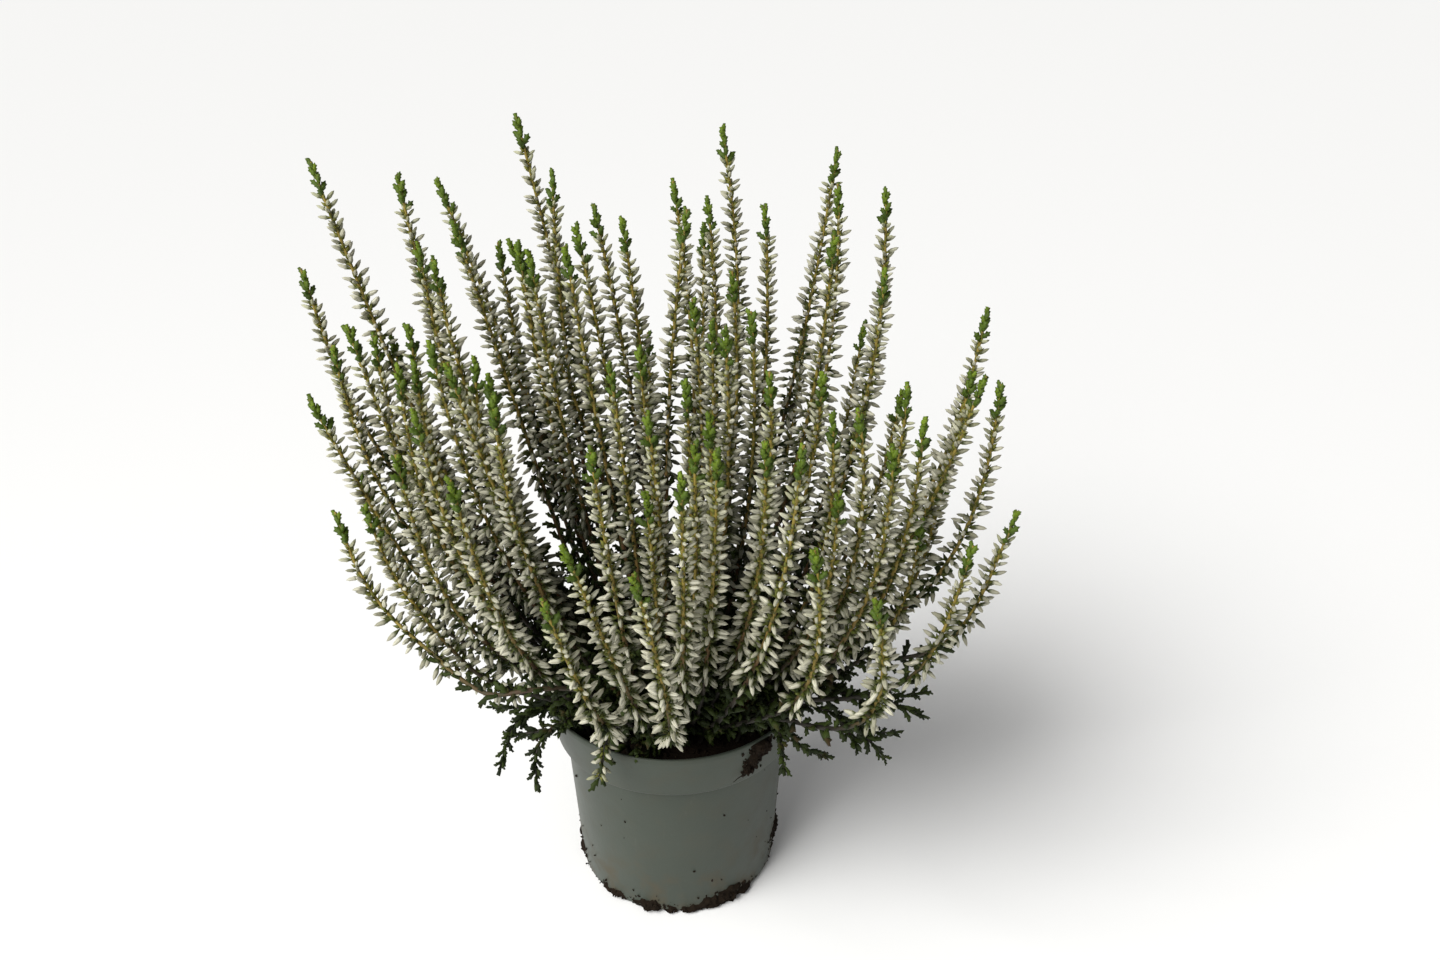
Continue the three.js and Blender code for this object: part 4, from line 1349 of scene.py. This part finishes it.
CLUMP_SMEARS = [(-49, 6, 99, 8, 3.2), (-52, 4, 92, 7, 2.6), (-55, 2.5, 87, 5, 1.8)]
clump_angles = np.radians(np.linspace(-63, -38, 50))
clump_heights = np.linspace(81, POT_HEIGHT - 0.9, 38)
lip_clump = soil_skin("lip_clump", clump_angles, clump_heights, CLUMP_SMEARS, closed=False)

# %% [markdown]
# Loose crumbs lie evenly on the soil, along the foot they gather at the smears, and a few dot the
# wall.

# %% Places of the crumbs
SOIL_CRUMBS, SPECKS, FOOT_CRUMBS, CLUMP_CRUMBS = 700, 40, 330, 110
SOIL_EDGE = 55.5
dice = np.random.default_rng(11)


def scattered_on_soil():
    """Places all over the soil, half sunk in."""
    places = []
    for _ in range(SOIL_CRUMBS):
        angle, radius = dice.uniform(0, 2 * math.pi), SOIL_EDGE * math.sqrt(dice.uniform())
        x, y = radius * math.cos(angle), radius * math.sin(angle)
        places.append((x, y, soil_height(x, y) + dice.uniform(-0.2, 0.5)))
    return places


def near_smears(count, smears, lowest):
    """Places on the wall where the soil skin is thin or just missing."""
    places = []
    while len(places) < count:
        middle, wide, level, tall, thick = smears[dice.integers(len(smears))]
        angle = math.radians(middle + wide * dice.normal() * 0.8)
        height = level + tall * dice.normal() * 0.7
        if lowest < height < POT_HEIGHT - 1:
            out = max(smeared(angle, height, smears), 0)
            places.append(on_pot(angle, height, out + dice.uniform(-0.1, 0.3)))
    return places


soil_crumbs = crumbs_at("soil_crumbs", scattered_on_soil(), seed=21, least=0.4, greatest=1.7)
specks = [on_pot(dice.uniform(0, 2 * math.pi), dice.uniform(3, LEDGE - 2), 0) for _ in range(SPECKS)]
low_places = near_smears(FOOT_CRUMBS, FOOT_SMEARS, lowest=1.1) + specks
pot_dirt = crumbs_at("pot_dirt", low_places, seed=22, least=0.22, greatest=0.8)
clump_places = near_smears(CLUMP_CRUMBS, CLUMP_SMEARS, lowest=82)
clump_crumbs = crumbs_at("clump_crumbs", clump_places, seed=23, least=0.4, greatest=1.1)

# %% Root thread in the clump
ROOT_ANGLE, ROOT_STEP = math.radians(-53) - 0.04, -0.022
ROOT_HEIGHT, ROOT_FALL, ROOT_WAVE = 86.5, 0.5, 0.4
root_line = []
for k in range(7):
    height = ROOT_HEIGHT - ROOT_FALL * k + ROOT_WAVE * math.sin(2.1 * k)
    root_line.append(on_pot(ROOT_ANGLE + ROOT_STEP * k, height, 0.9 + 0.1 * k))
root_guide = guide("root_guide", [np.array(root_line) * MM])
values = {"Stems": root_guide, "Material": peat_brown, "Ring every": 1.2 * MM, "Sides": 5}
values.update({"Foot radius": 0.35 * MM, "Tip radius": 0.12 * MM})
root_thread = made_by(tube_tree, "root_thread", values)

# %% [markdown]
# Handing the pieces to the imported model
#
# Every piece rides on the one body of the model, and the imported solids that it stands for are hidden.
# The guides and the small parts have done their work.

# %% Body and hidden parts
for helper in [o for o in bpy.context.scene.objects if o.name.endswith(("_guide", "_shape"))]:
    bpy.data.objects.remove(helper)

BODY = "root"
leaf_pieces = bract_pieces + [flower_stems, leafy_tips, stem_leaves, heart_foliage, crown_foliage]
flower_pieces = bud_pieces + leaf_pieces
twig_pieces = [twig_bark, twig_foliage]
dirt_pieces = [soil_crumbs, foot_dirt, pot_dirt, lip_clump, clump_crumbs, root_thread]
for piece in flower_pieces + twig_pieces + dirt_pieces + [nursery_pot, potting_soil]:
    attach(piece, BODY)
for piece in flower_pieces:
    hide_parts(*SPRAYS)
for piece in twig_pieces:
    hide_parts(*TWIGS)
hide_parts("pot")
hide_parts("soil")
for piece in bud_pieces:
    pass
